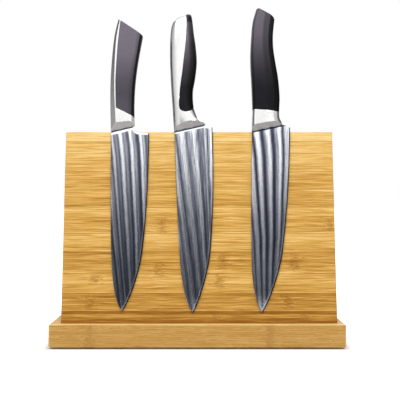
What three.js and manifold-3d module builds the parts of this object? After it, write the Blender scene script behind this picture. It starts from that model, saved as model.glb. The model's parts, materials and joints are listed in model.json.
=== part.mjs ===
// Magnetic bamboo knife block with three chef's knives.
// Units are millimetres, with +X to the right, +Y to the back and +Z up.
// The origin is on the floor, under the middle of the base.
import * as THREE from "three";
import { mergeVertices } from "three/addons/utils/BufferGeometryUtils.js";
import Module from "manifold-3d";

const wasm = await Module();
wasm.setup();

// ---------------------------------------------------------------- driving dimensions: the block
const PANEL_WIDTH = 300;
const PANEL_RISE = 210; // height of the ridge above the base
const PANEL_LEAN = THREE.MathUtils.degToRad(11);
const PANEL_SHIFT = 2; // both panels sit this far to the right of the base's middle
const BASE_DEPTH = 140;
const BASE_THICKNESS = 25;
const BASE_MARGIN = 10; // base showing beyond the panels on every side
const FACE_BOARD = 10;
const BACKING_BOARD = 12;
const EASED_EDGE = 2;
const GLUE_GAP = 0.3;

const MAGNETS_PER_ROW = 4;
const MAGNET = { length: 60, height: 12, thickness: 5 };
const MAGNET_PITCH = 70;
const MAGNET_ROWS = { lower: 0.33, upper: 0.72 }; // share of the slope's length
const MAGNET_SKIN = 2.4; // bamboo left over the magnets
const KEEPER_THICKNESS = 1.8;
const CHANNEL_CLEARANCE = 0.2;

const FOOT = { radius: 8, thickness: 3, proud: 1.5 };
const FOOT_INSET = 20;
const SCREW = { length: 45, shank: 2, head: 4, sink: 1, pitch: 2.8, thread: 22 };
const DOWEL = { radius: 3, below: 9, fill: 0.42 };
const FIT = 0.2; // clearance round screws, dowels, pins and tangs

// ---------------------------------------------------------------- driving dimensions: the knives
const BLADE_LENGTH = 201.5;
const BLADE_WIDTH = 42.6;
const CREST = 1.15; // half thickness at a flute's crest
const FLUTE_DEPTH = 0.36;
const EDGE_HALF = 0.2;
const EDGE_BEVEL = 6;
const TAPER = 0.3; // share of the thickness lost from heel to tip
const KNIFE_LIFT = 0.3; // blade clear of the bamboo
const RIDGE_CLEARANCE = 0.6; // bolster clear of the ridge
const TANG = { half: 0.7, from: 6, to: 21, length: 104 };
const PIN_RADIUS = 1.5;
const PIN_HALF = 6.5;

// ---------------------------------------------------------------- derived sizes
const SIN = Math.sin(PANEL_LEAN);
const COS = Math.cos(PANEL_LEAN);
const TAN = Math.tan(PANEL_LEAN);
const BASE_WIDTH = PANEL_WIDTH + 2 * BASE_MARGIN;
const BASE_TOP = FOOT.proud + BASE_THICKNESS;
const RIDGE_Z = BASE_TOP + PANEL_RISE;
const SLOPE = PANEL_RISE / COS;
const PANEL_FOOT_Y = -BASE_DEPTH / 2 + BASE_MARGIN;
const PANEL_STACK = FACE_BOARD + GLUE_GAP + BACKING_BOARD;

// ---------------------------------------------------------------- colours
const finish = (color, roughness, metalness) => ({ color, roughness, metalness });
const BAMBOO = finish(0xd9a860, 0.55, 0);
const BAMBOO_BASE = finish(0xc79b5b, 0.55, 0);
const BEECH = finish(0xd8b98c, 0.7, 0);
const BLADE_STEEL = finish(0xb4b8c4, 0.22, 1);
const HANDLE_STEEL = finish(0xdcdcd8, 0.25, 1);
const KEEPER_STEEL = finish(0x8e9194, 0.5, 1);
const MAGNET_GREY = finish(0x4a4a4e, 0.6, 0.4);
const SCREW_STEEL = finish(0xb9b29a, 0.35, 1);
const PIN_STEEL = finish(0xa8a8a8, 0.4, 1);
const BLACK_GRIP = finish(0x34313a, 0.45, 0);
const FOOT_RUBBER = finish(0x2a2a2a, 0.9, 0);

// ---------------------------------------------------------------- helpers
const root = new THREE.Group();
root.name = "knife_block_with_knives";

const add = (parent, name, geometry, look) => {
  const mesh = new THREE.Mesh(geometry, new THREE.MeshStandardMaterial({ ...look, flatShading: true }));
  mesh.name = name;
  parent.add(mesh);
};

const toSolid = (geometry) => {
  const bare = geometry.clone();
  bare.deleteAttribute("normal");
  bare.deleteAttribute("uv");
  const merged = mergeVertices(bare, 1e-4);
  return new wasm.Manifold(
    new wasm.Mesh({
      numProp: 3,
      vertProperties: new Float32Array(merged.attributes.position.array),
      triVerts: new Uint32Array(merged.index.array),
    }),
  );
};

const toGeometry = (solid) => {
  const mesh = solid.getMesh();
  const geometry = new THREE.BufferGeometry();
  geometry.setAttribute("position", new THREE.BufferAttribute(new Float32Array(mesh.vertProperties), 3));
  geometry.setIndex(new THREE.BufferAttribute(new Uint32Array(mesh.triVerts), 1));
  return geometry;
};

const cut = (solid, ...cutters) => cutters.reduce((left, cutter) => left.subtract(toSolid(cutter)), solid);

const box = (x0, x1, y0, y1, z0, z1) =>
  new THREE.BoxGeometry(x1 - x0, y1 - y0, z1 - z0).translate((x0 + x1) / 2, (y0 + y1) / 2, (z0 + z1) / 2);

// A round bar along +Z from z0 to z1, with a small chamfer at both ends.
const bar = (radius, z0, z1, chamfer = 0, segments = 16) =>
  new THREE.LatheGeometry(
    [
      new THREE.Vector2(0, z0),
      ...(chamfer ? [new THREE.Vector2(radius - chamfer, z0)] : []),
      new THREE.Vector2(radius, z0 + chamfer),
      new THREE.Vector2(radius, z1 - chamfer),
      ...(chamfer ? [new THREE.Vector2(radius - chamfer, z1)] : []),
      new THREE.Vector2(0, z1),
    ],
    segments,
  ).rotateX(Math.PI / 2);

// A closed skin over rings of equal length, the first and last ring capped. Each ring is convex.
const loft = (rings) => {
  const count = rings[0].length;
  const index = [];
  for (let r = 0; r + 1 < rings.length; r++) {
    for (let i = 0; i < count; i++) {
      const a = r * count + i;
      const b = r * count + ((i + 1) % count);
      index.push(a, b, b + count, a, b + count, a + count);
    }
  }
  const last = (rings.length - 1) * count;
  for (let i = 1; i + 1 < count; i++) {
    index.push(0, i + 1, i);
    index.push(last, last + i, last + i + 1);
  }
  const geometry = new THREE.BufferGeometry();
  geometry.setAttribute("position", new THREE.Float32BufferAttribute(rings.flat(2), 3));
  geometry.setIndex(index);
  return geometry;
};

// A plate that is symmetric about its middle plane: at(i, j) gives [x, y, half thickness].
const plate = (rows, columns, at) => {
  const points = [];
  for (const side of [1, -1]) {
    for (let i = 0; i <= rows; i++) {
      for (let j = 0; j <= columns; j++) {
        const [x, y, half] = at(i / rows, j / columns);
        points.push(x, y, side * half);
      }
    }
  }
  const back = (rows + 1) * (columns + 1);
  const id = (i, j) => i * (columns + 1) + j;
  const index = [];
  for (let i = 0; i < rows; i++) {
    for (let j = 0; j < columns; j++) {
      const [a, b, c, d] = [id(i, j), id(i, j + 1), id(i + 1, j + 1), id(i + 1, j)];
      index.push(a, d, c, a, c, b);
      index.push(back + a, back + c, back + d, back + a, back + b, back + c);
    }
  }
  const wall = (a, b) => index.push(a, b, back + b, a, back + b, back + a);
  for (let j = 0; j < columns; j++) {
    wall(id(0, j), id(0, j + 1));
    wall(id(rows, j + 1), id(rows, j));
  }
  for (let i = 0; i < rows; i++) {
    wall(id(i + 1, 0), id(i, 0));
    wall(id(i, columns), id(i + 1, columns));
  }
  const geometry = new THREE.BufferGeometry();
  geometry.setAttribute("position", new THREE.Float32BufferAttribute(points, 3));
  geometry.setIndex(index);
  return geometry;
};

// Frames on the front panel. Inward is (x, depth into the panel, up the slope).
// Outward is (x, up the slope, out of the panel).
const foot = new THREE.Vector3(PANEL_SHIFT, PANEL_FOOT_Y, BASE_TOP);
const across = new THREE.Vector3(1, 0, 0);
const up = new THREE.Vector3(0, SIN, COS);
const out = new THREE.Vector3(0, -COS, SIN);
const inward = new THREE.Matrix4().makeBasis(across, out.clone().negate(), up).setPosition(foot);
const outward = new THREE.Matrix4().makeBasis(across, up, out).setPosition(foot);

// Half a turn about the vertical through the panels' own middle takes the front panel to the back one.
const turnToBack = new THREE.Matrix4()
  .makeTranslation(PANEL_SHIFT, 0, 0)
  .multiply(new THREE.Matrix4().makeRotationZ(Math.PI))
  .multiply(new THREE.Matrix4().makeTranslation(-PANEL_SHIFT, 0, 0));
const SIDES = [
  ["front", new THREE.Matrix4()],
  ["back", turnToBack],
];

// ---------------------------------------------------------------- base board, feet and screws
const FOOT_XY = [
  ["front_left", -1, -1],
  ["front_right", 1, -1],
  ["back_left", -1, 1],
  ["back_right", 1, 1],
].map(([name, sideX, sideY]) => [
  name,
  sideX * (BASE_WIDTH / 2 - FOOT_INSET),
  sideY * (BASE_DEPTH / 2 - FOOT_INSET),
]);

// The screws stand upright in the backing boards, midway between where those lean at the screw's tip
// and at the base.
const SCREW_Z = FOOT.proud + SCREW.sink;
const tipRise = SCREW_Z + SCREW.length - BASE_TOP;
const SCREW_Y =
  (PANEL_FOOT_Y + (FACE_BOARD + GLUE_GAP) / COS + tipRise * TAN + PANEL_FOOT_Y + PANEL_STACK / COS) / 2;
const SCREW_XY = [
  ["left", -1],
  ["middle", 0],
  ["right", 1],
].flatMap(([name, s]) => [
  ["front_" + name, PANEL_SHIFT + s * PANEL_WIDTH * 0.37, SCREW_Y],
  ["back_" + name, PANEL_SHIFT + s * PANEL_WIDTH * 0.37, -SCREW_Y],
]);

const screwProfile = (grow) => {
  const headHeight = SCREW.head - SCREW.shank;
  const profile = [
    new THREE.Vector2(0, 0),
    new THREE.Vector2(SCREW.head + grow, 0),
    new THREE.Vector2(SCREW.head + grow, 0.6),
    new THREE.Vector2(SCREW.shank + grow, headHeight + 0.6),
  ];
  if (!grow) {
    const turns = Math.floor((SCREW.length - SCREW.thread - 4) / SCREW.pitch);
    for (let i = 0; i <= turns; i++) {
      profile.push(new THREE.Vector2(SCREW.shank, SCREW.thread + i * SCREW.pitch));
      profile.push(new THREE.Vector2(SCREW.shank * 0.68, SCREW.thread + (i + 0.5) * SCREW.pitch));
    }
  }
  if (grow) profile.push(new THREE.Vector2(SCREW.shank + grow, SCREW.length - 2));
  profile.push(new THREE.Vector2(grow, SCREW.length + grow));
  if (grow) profile.push(new THREE.Vector2(0, SCREW.length + grow));
  return new THREE.LatheGeometry(profile, 12).rotateX(Math.PI / 2);
};

const r = EASED_EDGE;
const basePlan = new THREE.Shape();
const [bx, by] = [BASE_WIDTH / 2, BASE_DEPTH / 2];
basePlan.moveTo(-bx + r, -by);
basePlan.lineTo(bx - r, -by);
basePlan.absarc(bx - r, -by + r, r, -Math.PI / 2, 0);
basePlan.absarc(bx - r, by - r, r, 0, Math.PI / 2);
basePlan.absarc(-bx + r, by - r, r, Math.PI / 2, Math.PI);
basePlan.absarc(-bx + r, -by + r, r, Math.PI, Math.PI * 1.5);
const baseBlank = new THREE.ExtrudeGeometry(basePlan, {
  depth: BASE_THICKNESS - 2 * r,
  curveSegments: 4,
  bevelSize: r * 0.99,
  bevelOffset: -r * 0.99,
  bevelThickness: r,
  bevelSegments: 4,
}).translate(0, 0, FOOT.proud + r);
const baseBoard = cut(
  toSolid(baseBlank),
  ...FOOT_XY.map(([, x, y]) =>
    bar(FOOT.radius + 0.3, FOOT.proud - 1, FOOT.thickness + 0.1, 0, 24).translate(x, y, 0),
  ),
  ...SCREW_XY.map(([, x, y]) => screwProfile(FIT).translate(x, y, SCREW_Z)),
  ...SCREW_XY.map(([, x, y]) => bar(SCREW.head + FIT, -1, SCREW_Z + 0.1, 0, 12).translate(x, y, 0)),
);
add(root, "base_board", toGeometry(baseBoard), BAMBOO_BASE);
for (const [name, x, y] of FOOT_XY) {
  const pad = bar(FOOT.radius, 0, FOOT.thickness, 0.7, 24).translate(x, y, 0);
  add(root, "foot_" + name, pad, FOOT_RUBBER);
}
for (const [name, x, y] of SCREW_XY) {
  const slot = [
    box(-2.2, 2.2, -0.45, 0.45, -1, 1.6),
    box(-0.45, 0.45, -2.2, 2.2, -1, 1.6),
  ];
  const screw = cut(toSolid(screwProfile(0)), ...slot);
  add(root, "base_screw_" + name, toGeometry(screw).translate(x, y, SCREW_Z), SCREW_STEEL);
}

// ---------------------------------------------------------------- leaning panels
const DOWEL_Z = RIDGE_Z - DOWEL.below;
// Half the thickness of the two panels together at the dowels' height.
const halfRidge = -PANEL_FOOT_Y - (PANEL_RISE - DOWEL.below) * TAN;
const DOWEL_HALF = halfRidge * DOWEL.fill;
const DOWEL_X = [
  ["left", -1],
  ["middle", 0],
  ["right", 1],
].map(([name, s]) => [name, PANEL_SHIFT + s * PANEL_WIDTH * 0.4]);
const dowel = (radius, half, x) =>
  bar(radius, -half, half, 0.6, 16)
    .rotateX(Math.PI / 2)
    .translate(x, 0, DOWEL_Z);

// Each channel is milled through the back of the face board. Where the stack of magnet and keeper is deeper
// than that board, the backing board is milled to take the rest.
const magnetFrom = MAGNET_SKIN + CHANNEL_CLEARANCE;
const keeperFrom = magnetFrom + MAGNET.thickness + CHANNEL_CLEARANCE;
const stackDepth = keeperFrom + KEEPER_THICKNESS + CHANNEL_CLEARANCE;
const channelHeight = MAGNET.height + 2 * CHANNEL_CLEARANCE;
const channelHalf = ((MAGNETS_PER_ROW - 1) * MAGNET_PITCH + MAGNET.length) / 2 + 4;
const ROWS = Object.entries(MAGNET_ROWS).map(([name, share]) => [name, share * SLOPE]);

// One leaf of the front panel between two depths, trimmed level at the base and ridge and upright at
// the middle.
const leaf = (depth0, depth1, eased) => {
  const half = PANEL_WIDTH / 2;
  const e = eased ? 1.2 : 0;
  const section = new THREE.Shape();
  section.moveTo(-half, depth1);
  section.lineTo(-half, depth0 + e);
  if (eased) section.absarc(-half + e, depth0 + e, e, Math.PI, Math.PI * 1.5);
  section.lineTo(half - e, depth0);
  if (eased) section.absarc(half - e, depth0 + e, e, -Math.PI / 2, 0);
  section.lineTo(half, depth1);
  const spare = 15; // trimmed off at both ends
  const blank = new THREE.ExtrudeGeometry(section, {
    depth: SLOPE + 2 * spare,
    bevelEnabled: false,
    curveSegments: 3,
  });
  const leaning = toSolid(blank.translate(0, 0, -spare).applyMatrix4(inward));
  const room = box(-BASE_WIDTH, BASE_WIDTH, -BASE_DEPTH, -GLUE_GAP / 2, BASE_TOP, RIDGE_Z);
  return leaning.intersect(toSolid(room));
};

// A small flat along the front top corner of the face board.
const arris = box(-BASE_WIDTH, BASE_WIDTH, -0.8, 0.8, -0.8, 0.8)
  .rotateX((Math.PI - 2 * PANEL_LEAN) / 4)
  .translate(0, PANEL_FOOT_Y + PANEL_RISE * TAN, RIDGE_Z);

const dowelHoles = DOWEL_X.map(([, x]) => dowel(DOWEL.radius + FIT, DOWEL_HALF + 0.5, x));
const channelsTo = (depth) =>
  ROWS.map(([, v]) => {
    const half = channelHeight / 2;
    return box(-channelHalf, channelHalf, MAGNET_SKIN, depth, v - half, v + half).applyMatrix4(inward);
  });
const frontScrewHoles = SCREW_XY.filter(([name]) => name.startsWith("front")).map(([, x, y]) =>
  screwProfile(FIT).translate(x, y, SCREW_Z),
);
const faceBoard = cut(leaf(0, FACE_BOARD, true), ...channelsTo(FACE_BOARD + 1), arris, ...dowelHoles);
const backingBoard = cut(
  leaf(FACE_BOARD + GLUE_GAP, PANEL_STACK, false),
  ...channelsTo(stackDepth),
  ...dowelHoles,
  ...frontScrewHoles,
);

for (const [side, turn] of SIDES) {
  add(root, side + "_face_board", toGeometry(faceBoard).applyMatrix4(turn), BAMBOO);
  add(root, side + "_backing_board", toGeometry(backingBoard).applyMatrix4(turn), BAMBOO);
  for (const [row, v] of ROWS) {
    const half = MAGNET.height / 2;
    const lie = (geometry) => geometry.applyMatrix4(inward).applyMatrix4(turn);
    const keeper = box(
      -channelHalf + 1,
      channelHalf - 1,
      keeperFrom,
      keeperFrom + KEEPER_THICKNESS,
      v - half,
      v + half,
    );
    add(root, [side, row, "keeper"].join("_"), lie(keeper), KEEPER_STEEL);
    for (let i = 0; i < MAGNETS_PER_ROW; i++) {
      const x = (i - (MAGNETS_PER_ROW - 1) / 2) * MAGNET_PITCH;
      const [x0, x1] = [x - MAGNET.length / 2, x + MAGNET.length / 2];
      const magnet = box(x0, x1, magnetFrom, magnetFrom + MAGNET.thickness, v - half, v + half);
      add(root, [side, row, "magnet", i + 1].join("_"), lie(magnet), MAGNET_GREY);
    }
  }
}
for (const [name, x] of DOWEL_X) {
  add(root, "ridge_dowel_" + name, dowel(DOWEL.radius, DOWEL_HALF, x), BEECH);
}

// ---------------------------------------------------------------- blades
// Knife frame: x from the spine towards the edge, y from the bolster's lower corner towards the butt,
// z out of the panel.
const bezierAt = (points, t) => {
  const u = 1 - t;
  const [a, b, c, d] = points;
  return [0, 1].map((k) => u ** 3 * a[k] + 3 * u * u * t * b[k] + 3 * u * t * t * c[k] + t ** 3 * d[k]);
};
const curveX = (segments, y) => {
  const points = segments.find((s) => y >= s[3][1]) ?? segments[segments.length - 1];
  let [low, high] = [0, 1];
  for (let i = 0; i < 40; i++) {
    const t = (low + high) / 2;
    if (bezierAt(points, t)[1] > y) low = t;
    else high = t;
  }
  return bezierAt(points, low)[0];
};

const L = BLADE_LENGTH;
const W = BLADE_WIDTH;
const TIP_X = 0.343 * W;
const spine = [
  [[0, 20], [0, -0.3 * L], [0.018 * W, -0.545 * L], [0.059 * W, -0.735 * L]],
  [[0.059 * W, -0.735 * L], [0.092 * W, -0.868 * L], [0.18 * W, -0.953 * L], [TIP_X - 0.3, -L]],
];
const belly = [
  [[W, 20], [1.007 * W, -0.248 * L], [0.96 * W, -0.471 * L], [0.84 * W, -0.69 * L]],
  [[0.84 * W, -0.69 * L], [0.768 * W, -0.794 * L], [0.553 * W, -0.938 * L], [TIP_X + 0.3, -L]],
];
const taper = (y) => 1 + (TAPER * Math.min(y, 0)) / L;

// The ground blade without its flutes: full at the spine, falling to the cutting edge over the bevel.
const groundBlade = plate(30, 3, (i, j) => {
  const y = 19 - (19 + L) * Math.sin((i * Math.PI) / 2);
  const [x0, x1] = [curveX(spine, y), curveX(belly, y)];
  const width = x1 - x0;
  const full = CREST * 1.08 * taper(y);
  const stations = [
    [x0, CREST * 0.85 * taper(y)],
    [x0 + Math.min(1.2, width * 0.2), full],
    [x1 - Math.min(EDGE_BEVEL, width * 0.6), full],
    [x1, EDGE_HALF],
  ];
  const [x, half] = stations[Math.round(j * 3)];
  return [x, y, half];
});

// Flutes run down both faces as a fan of straight lines that would meet at a point beyond the tip.
const FLUTE_STEPS = 10;
const flutedSlab = ({ fanX, fanY, pitch, crest }) => {
  const reach = -fanY;
  const stepAngle = pitch / reach / FLUTE_STEPS;
  const lowest = (-6 - fanX) / (-L - 4 - fanY);
  const highest = Math.max((W + 6 - fanX) / reach, (TIP_X + 20 - fanX) / (-L - 4 - fanY));
  const columns = Math.ceil((highest - lowest) / stepAngle);
  const phase0 = (crest - fanX) / reach;
  return plate(4, columns, (i, j) => {
    const y = 19 - i * (L + 22);
    const t = lowest + j * columns * stepAngle;
    const wave = 0.5 - 0.5 * Math.cos(((t - phase0) / (pitch / reach)) * 2 * Math.PI);
    return [fanX + t * (y - fanY), y, (CREST - FLUTE_DEPTH * wave) * taper(y)];
  });
};

// Hidden pins lie across the handle, through the tang.
const pinAt = ([x, y]) => bar(PIN_RADIUS, -PIN_HALF, PIN_HALF, 0.3, 12).translate(x, y, 0);
const pinHole = ([x, y]) => {
  const half = PIN_HALF + FIT;
  return bar(PIN_RADIUS + FIT / 2, -half, half, 0, 12).translate(x, y, 0);
};

const flatShape = (points) => new THREE.Shape(points.map(([x, y]) => new THREE.Vector2(x, y)));
const prism = (shape, z0, z1, curveSegments = 6) =>
  new THREE.ExtrudeGeometry(shape, {
    depth: z1 - z0,
    bevelEnabled: false,
    curveSegments,
  }).translate(0, 0, z0);

// heel lists the points of the blade's upper edge, from below the bolster to the heel's corner.
const makeBlade = ({ seat, heel, flutes, pins }) => {
  const above = flatShape([
    [-20, -20 * seat - 0.2],
    [heel[0][0], heel[0][0] * seat - 0.2],
    ...heel,
    [W + 20, heel[heel.length - 1][1]],
    [W + 20, 60],
    [-20, 60],
  ]);
  const fluted = toSolid(flutedSlab(flutes)).intersect(toSolid(groundBlade));
  const body = cut(fluted, prism(above, -10, 10));
  const tang = box(TANG.from, TANG.to, TANG.from * seat - 2, TANG.length, -TANG.half, TANG.half);
  return toGeometry(cut(body.add(toSolid(tang)), ...pins.map((at) => pinHole(at))));
};
const tangSlot = (seat) =>
  box(
    TANG.from - FIT,
    TANG.to + FIT,
    TANG.from * seat - 8,
    TANG.length + FIT,
    -TANG.half - FIT / 2,
    TANG.half + FIT / 2,
  );

// ---------------------------------------------------------------- handles
const track = (points) => {
  const curve = new THREE.CatmullRomCurve3(
    points.map(([x, y, half = 0]) => new THREE.Vector3(x, y, half)),
    false,
    "centripetal",
  );
  return (t) => curve.getPoint(t).toArray();
};
const mix = (a, b, k) => a + (b - a) * k;

// A section between a point on the spine side and one on the belly side, whose corners are given as
// [share across, height].
const section = (from, to, corners) =>
  corners.map(([k, z]) => [mix(from[0], to[0], k), mix(from[1], to[1], k), z]);

const ovalCorners = (half, power, count, squeeze = 1) => {
  const corners = [];
  for (let i = 0; i < count; i++) {
    const a = (-i / count) * 2 * Math.PI;
    const [c, s] = [Math.cos(a), Math.sin(a)];
    const x = Math.sign(c) * Math.abs(c) ** (2 / power);
    const z = Math.sign(s) * Math.abs(s) ** (2 / power);
    corners.push([0.5 + 0.5 * squeeze * x, half * z]);
  }
  return corners;
};

// Removes what lies below the bolster's lower end: two slanted facets that meet the blade along the seat.
const bolsterCutter = (seat, rise) => {
  const lip = CREST + 0.1;
  const profile = flatShape([
    [lip, 0],
    [lip, 1.2],
    [lip + 30, 1.2 + 30 * rise],
    [lip + 30, -60],
    [-lip - 30, -60],
    [-lip - 30, 1.2 + 30 * rise],
    [-lip, 1.2],
    [-lip, 0],
  ]);
  const along = Math.atan(seat);
  return prism(profile, -60, 120)
    .applyMatrix4(
      new THREE.Matrix4().makeBasis(
        new THREE.Vector3(0, 0, 1),
        new THREE.Vector3(0, 1, 0),
        new THREE.Vector3(-1, 0, 0),
      ),
    )
    .rotateZ(along);
};
const knife = (name, along, tilt) => {
  const group = new THREE.Group();
  group.name = name;
  const lift = KNIFE_LIFT + CREST;
  const pose = new THREE.Matrix4()
    .makeTranslation(along * PANEL_WIDTH - PANEL_SHIFT, SLOPE + RIDGE_CLEARANCE, lift)
    .multiply(new THREE.Matrix4().makeRotationZ(THREE.MathUtils.degToRad(tilt)));
  group.applyMatrix4(outward.clone().multiply(pose));
  root.add(group);
  return group;
};

// Left knife: a slab-sided handle. Steel spine and bolster are one piece, black scales fill the rest.
{
  const seat = 0.245;
  const group = knife("left_knife", -0.3228, 0.2);
  const heel = [[24.3, 4.4], [25.6, 1.4], [28.4, -0.8], [33.5, -1.8], [38, -2.5], [W + 1, -2.6]];
  const flutes = { fanX: 64, fanY: -734, pitch: 10.7, crest: 5 };
  const pins = [[13.5, 46], [16.5, 92]];
  add(group, "left_blade", makeBlade({ seat, heel, flutes, pins }), BLADE_STEEL);

  const spineHalf = 9.2;
  const bellyHalf = 6.8;
  const spineEdge = track([[1.2, -20], [-0.3, 0], [-1.5, 40], [-0.8, 73], [2.3, 109.8], [6.8, 130.6]]);
  const bellyEdge = track([[27, -20], [26.5, 4], [25.7, 28], [26.7, 55], [29.6, 81], [34.7, 112]]);
  const steps = 14;
  const rings = [];
  for (let i = 0; i <= steps; i++) {
    const t = i / steps;
    const [from, to] = [spineEdge(t), bellyEdge(t)];
    const width = Math.hypot(to[0] - from[0], to[1] - from[1]);
    const spineBevel = mix(5.6, 1, Math.max(0, t - 0.3) / 0.7) / width;
    const bellyBevel = 4 / width;
    rings.push(
      section(from, to, [
        [0, -2.6],
        [0, 2.6],
        [spineBevel, spineHalf],
        [1 - bellyBevel, bellyHalf],
        [1, 3],
        [1, -3],
        [1 - bellyBevel, -bellyHalf],
        [spineBevel, -spineHalf],
      ]),
    );
  }
  const handle = cut(toSolid(loft(rings)), bolsterCutter(seat, 0.8), tangSlot(seat));
  // The scales end in a curved edge beside the spine strip and in a slanted foot above the bolster.
  const scaleOutline = (gap) => {
    const side = new THREE.SplineCurve(
      [[6.4, 24.3], [5.8, 42.5], [5.8, 62], [7.5, 98.5], [10.5, 130], [12.6, 146]].map(
        ([x, y]) => new THREE.Vector2(x + gap, y),
      ),
    );
    const foot0 = [6.4 + gap, 24.3 + gap * 1.2];
    const foot1 = [60, foot0[1] - 0.475 * (60 - foot0[0])];
    const points = side.getPoints(16).map((p) => [p.x, p.y]);
    return prism(flatShape([foot0, foot1, [60, 146], ...points.reverse()]), -20, 20);
  };
  const steel = cut(handle, scaleOutline(-0.1));
  const black = cut(handle.intersect(toSolid(scaleOutline(0.1))), ...pins.map(pinHole));
  const seam = GLUE_GAP / 4;
  const half = (z0, z1) => toGeometry(black.intersect(toSolid(box(-60, 90, -60, 200, z0, z1))));
  add(group, "left_spine_frame", toGeometry(steel), HANDLE_STEEL);
  add(group, "left_scale_front", half(seam, 30), BLACK_GRIP);
  add(group, "left_scale_back", half(-30, -seam), BLACK_GRIP);
  pins.forEach((at, i) => add(group, "left_pin_" + (i + 1), pinAt(at), PIN_STEEL));
}

// Middle knife: an oval steel handle that flares into its bolster, with a black inlay along the belly side.
{
  const seat = 0.205;
  const group = knife("middle_knife", -0.085, 1.7);
  const heel = [[32.6, 6.5], [34.4, 5], [37, 3.4], [W + 1, 3.1]];
  const flutes = { fanX: 36, fanY: -430, pitch: 11, crest: 1.5 };
  const pins = [[14.2, 42], [18.5, 88]];
  add(group, "middle_blade", makeBlade({ seat, heel, flutes, pins }), BLADE_STEEL);

  const spineEdge = track([
    [0.6, -20, 9], [0, 0, 9.5], [-0.6, 13, 9.5], [-1, 26, 9.3], [-1.8, 44, 9.2], [-2.3, 60, 9.6],
    [-2.6, 80, 10], [-2.4, 98, 10], [-1.5, 113.5, 9.5], [0.2, 125, 8.6], [3.7, 131.6, 7],
    [9.4, 136, 4.6], [15, 138, 2],
  ]);
  const bellyEdge = track([
    [42, -14], [34, 6.2], [26.4, 14], [22.1, 27], [21.9, 44.5], [24.9, 60.6], [27.4, 80],
    [26.7, 99], [25.2, 113.3], [24.1, 127], [23.4, 133.5], [22.6, 137], [21, 138.6],
  ]);
  const steps = 30;
  const rings = [];
  for (let i = 0; i <= steps; i++) {
    const [from, to] = [spineEdge(i / steps), bellyEdge(i / steps)];
    rings.push(section(from, to, ovalCorners(from[2], 2.2, 24)));
  }
  const handle = cut(toSolid(loft(rings)), bolsterCutter(seat, 0.7), tangSlot(seat));
  const inlayOutline = (gap) => {
    const side = new THREE.SplineCurve(
      [
        [22.6, 25], [14, 20.3], [7.6, 22], [5.9, 27], [6.5, 36], [8.3, 52], [11.1, 67.8], [13.4, 83.4],
        [15, 97.3], [16, 112.3], [16.7, 127], [17, 148],
      ].map(([x, y], i) => new THREE.Vector2(x + (i > 1 ? gap : 0), y + (i < 4 ? gap : 0))),
    );
    const points = side.getPoints(36).map((p) => [p.x, p.y]);
    return prism(flatShape([[60, 30], [60, 148], ...points.reverse(), [26, 27 + gap]]), -20, 20);
  };
  const steel = cut(handle, inlayOutline(-0.1));
  const black = cut(handle.intersect(toSolid(inlayOutline(0.1))), ...pins.map(pinHole));
  add(group, "middle_handle", toGeometry(steel), HANDLE_STEEL);
  add(group, "middle_inlay", toGeometry(black), BLACK_GRIP);
  pins.forEach((at, i) => add(group, "middle_pin_" + (i + 1), pinAt(at), PIN_STEEL));
}

// Right knife: a moulded black grip above a separate steel bolster.
{
  const seat = 0.25;
  const group = knife("right_knife", 0.206, -1.75);
  const heel = [[32.6, 8], [35, 8.3], [38.8, 7.2], [W + 1, 4.9]];
  const flutes = { fanX: 31, fanY: -354, pitch: 10.6, crest: 0 };
  const pins = [[13.5, 60]];
  add(group, "right_blade", makeBlade({ seat, heel, flutes, pins }), BLADE_STEEL);

  const spineEdge = track([
    [0.3, -20, 9], [0, 0, 9.3], [0.1, 13.8, 9.3], [-0.1, 26.7, 9.3], [-0.9, 42, 9.4], [-2, 60.9, 9.8],
    [-2.9, 80, 10], [-3.3, 97, 10], [-3, 113, 9.8], [-1.9, 128, 9.6], [2, 144.2, 9],
  ]);
  const bellyEdge = track([
    [42, -12], [33.6, 8.6], [30.1, 16.5], [29.9, 27], [30.1, 41], [28.1, 61.9],
    [24.8, 80.5], [22.2, 96.5], [21.4, 110], [21.9, 121.5], [22.9, 132.4],
  ]);
  const steps = 24;
  const rings = [];
  for (let i = 0; i <= steps; i++) {
    const [from, to] = [spineEdge(i / steps), bellyEdge(i / steps)];
    rings.push(section(from, to, ovalCorners(from[2], 3, 24)));
  }
  rings.push(section([2.7, 145.5], [22.1, 135.4], ovalCorners(7.6, 3, 24, 0.95)));
  const whole = toSolid(loft(rings));
  const collarLine = (gap) => [[-60, 23.2], [14, 23], [30, 22.2], [90, 19]].map(([x, y]) => [x, y + gap]);
  const belowCollar = prism(flatShape([[90, -60], ...collarLine(-0.1).reverse(), [-60, -60]]), -20, 20);
  const aboveCollar = prism(flatShape([...collarLine(0.1), [90, 220], [-60, 220]]), -20, 20);
  const bolster = cut(whole.intersect(toSolid(belowCollar)), bolsterCutter(seat, 0.62), tangSlot(seat));
  const grip = cut(whole.intersect(toSolid(aboveCollar)), tangSlot(seat), ...pins.map(pinHole));
  add(group, "right_bolster", toGeometry(bolster), HANDLE_STEEL);
  add(group, "right_grip", toGeometry(grip), BLACK_GRIP);
  pins.forEach((at, i) => add(group, "right_pin_" + (i + 1), pinAt(at), PIN_STEEL));
}

export default root;
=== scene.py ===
"""Looks for a magnetic bamboo knife block with three fluted chef's knives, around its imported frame."""
import json
import math

import bmesh
import bpy
from mathutils import Matrix, Vector


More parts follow.
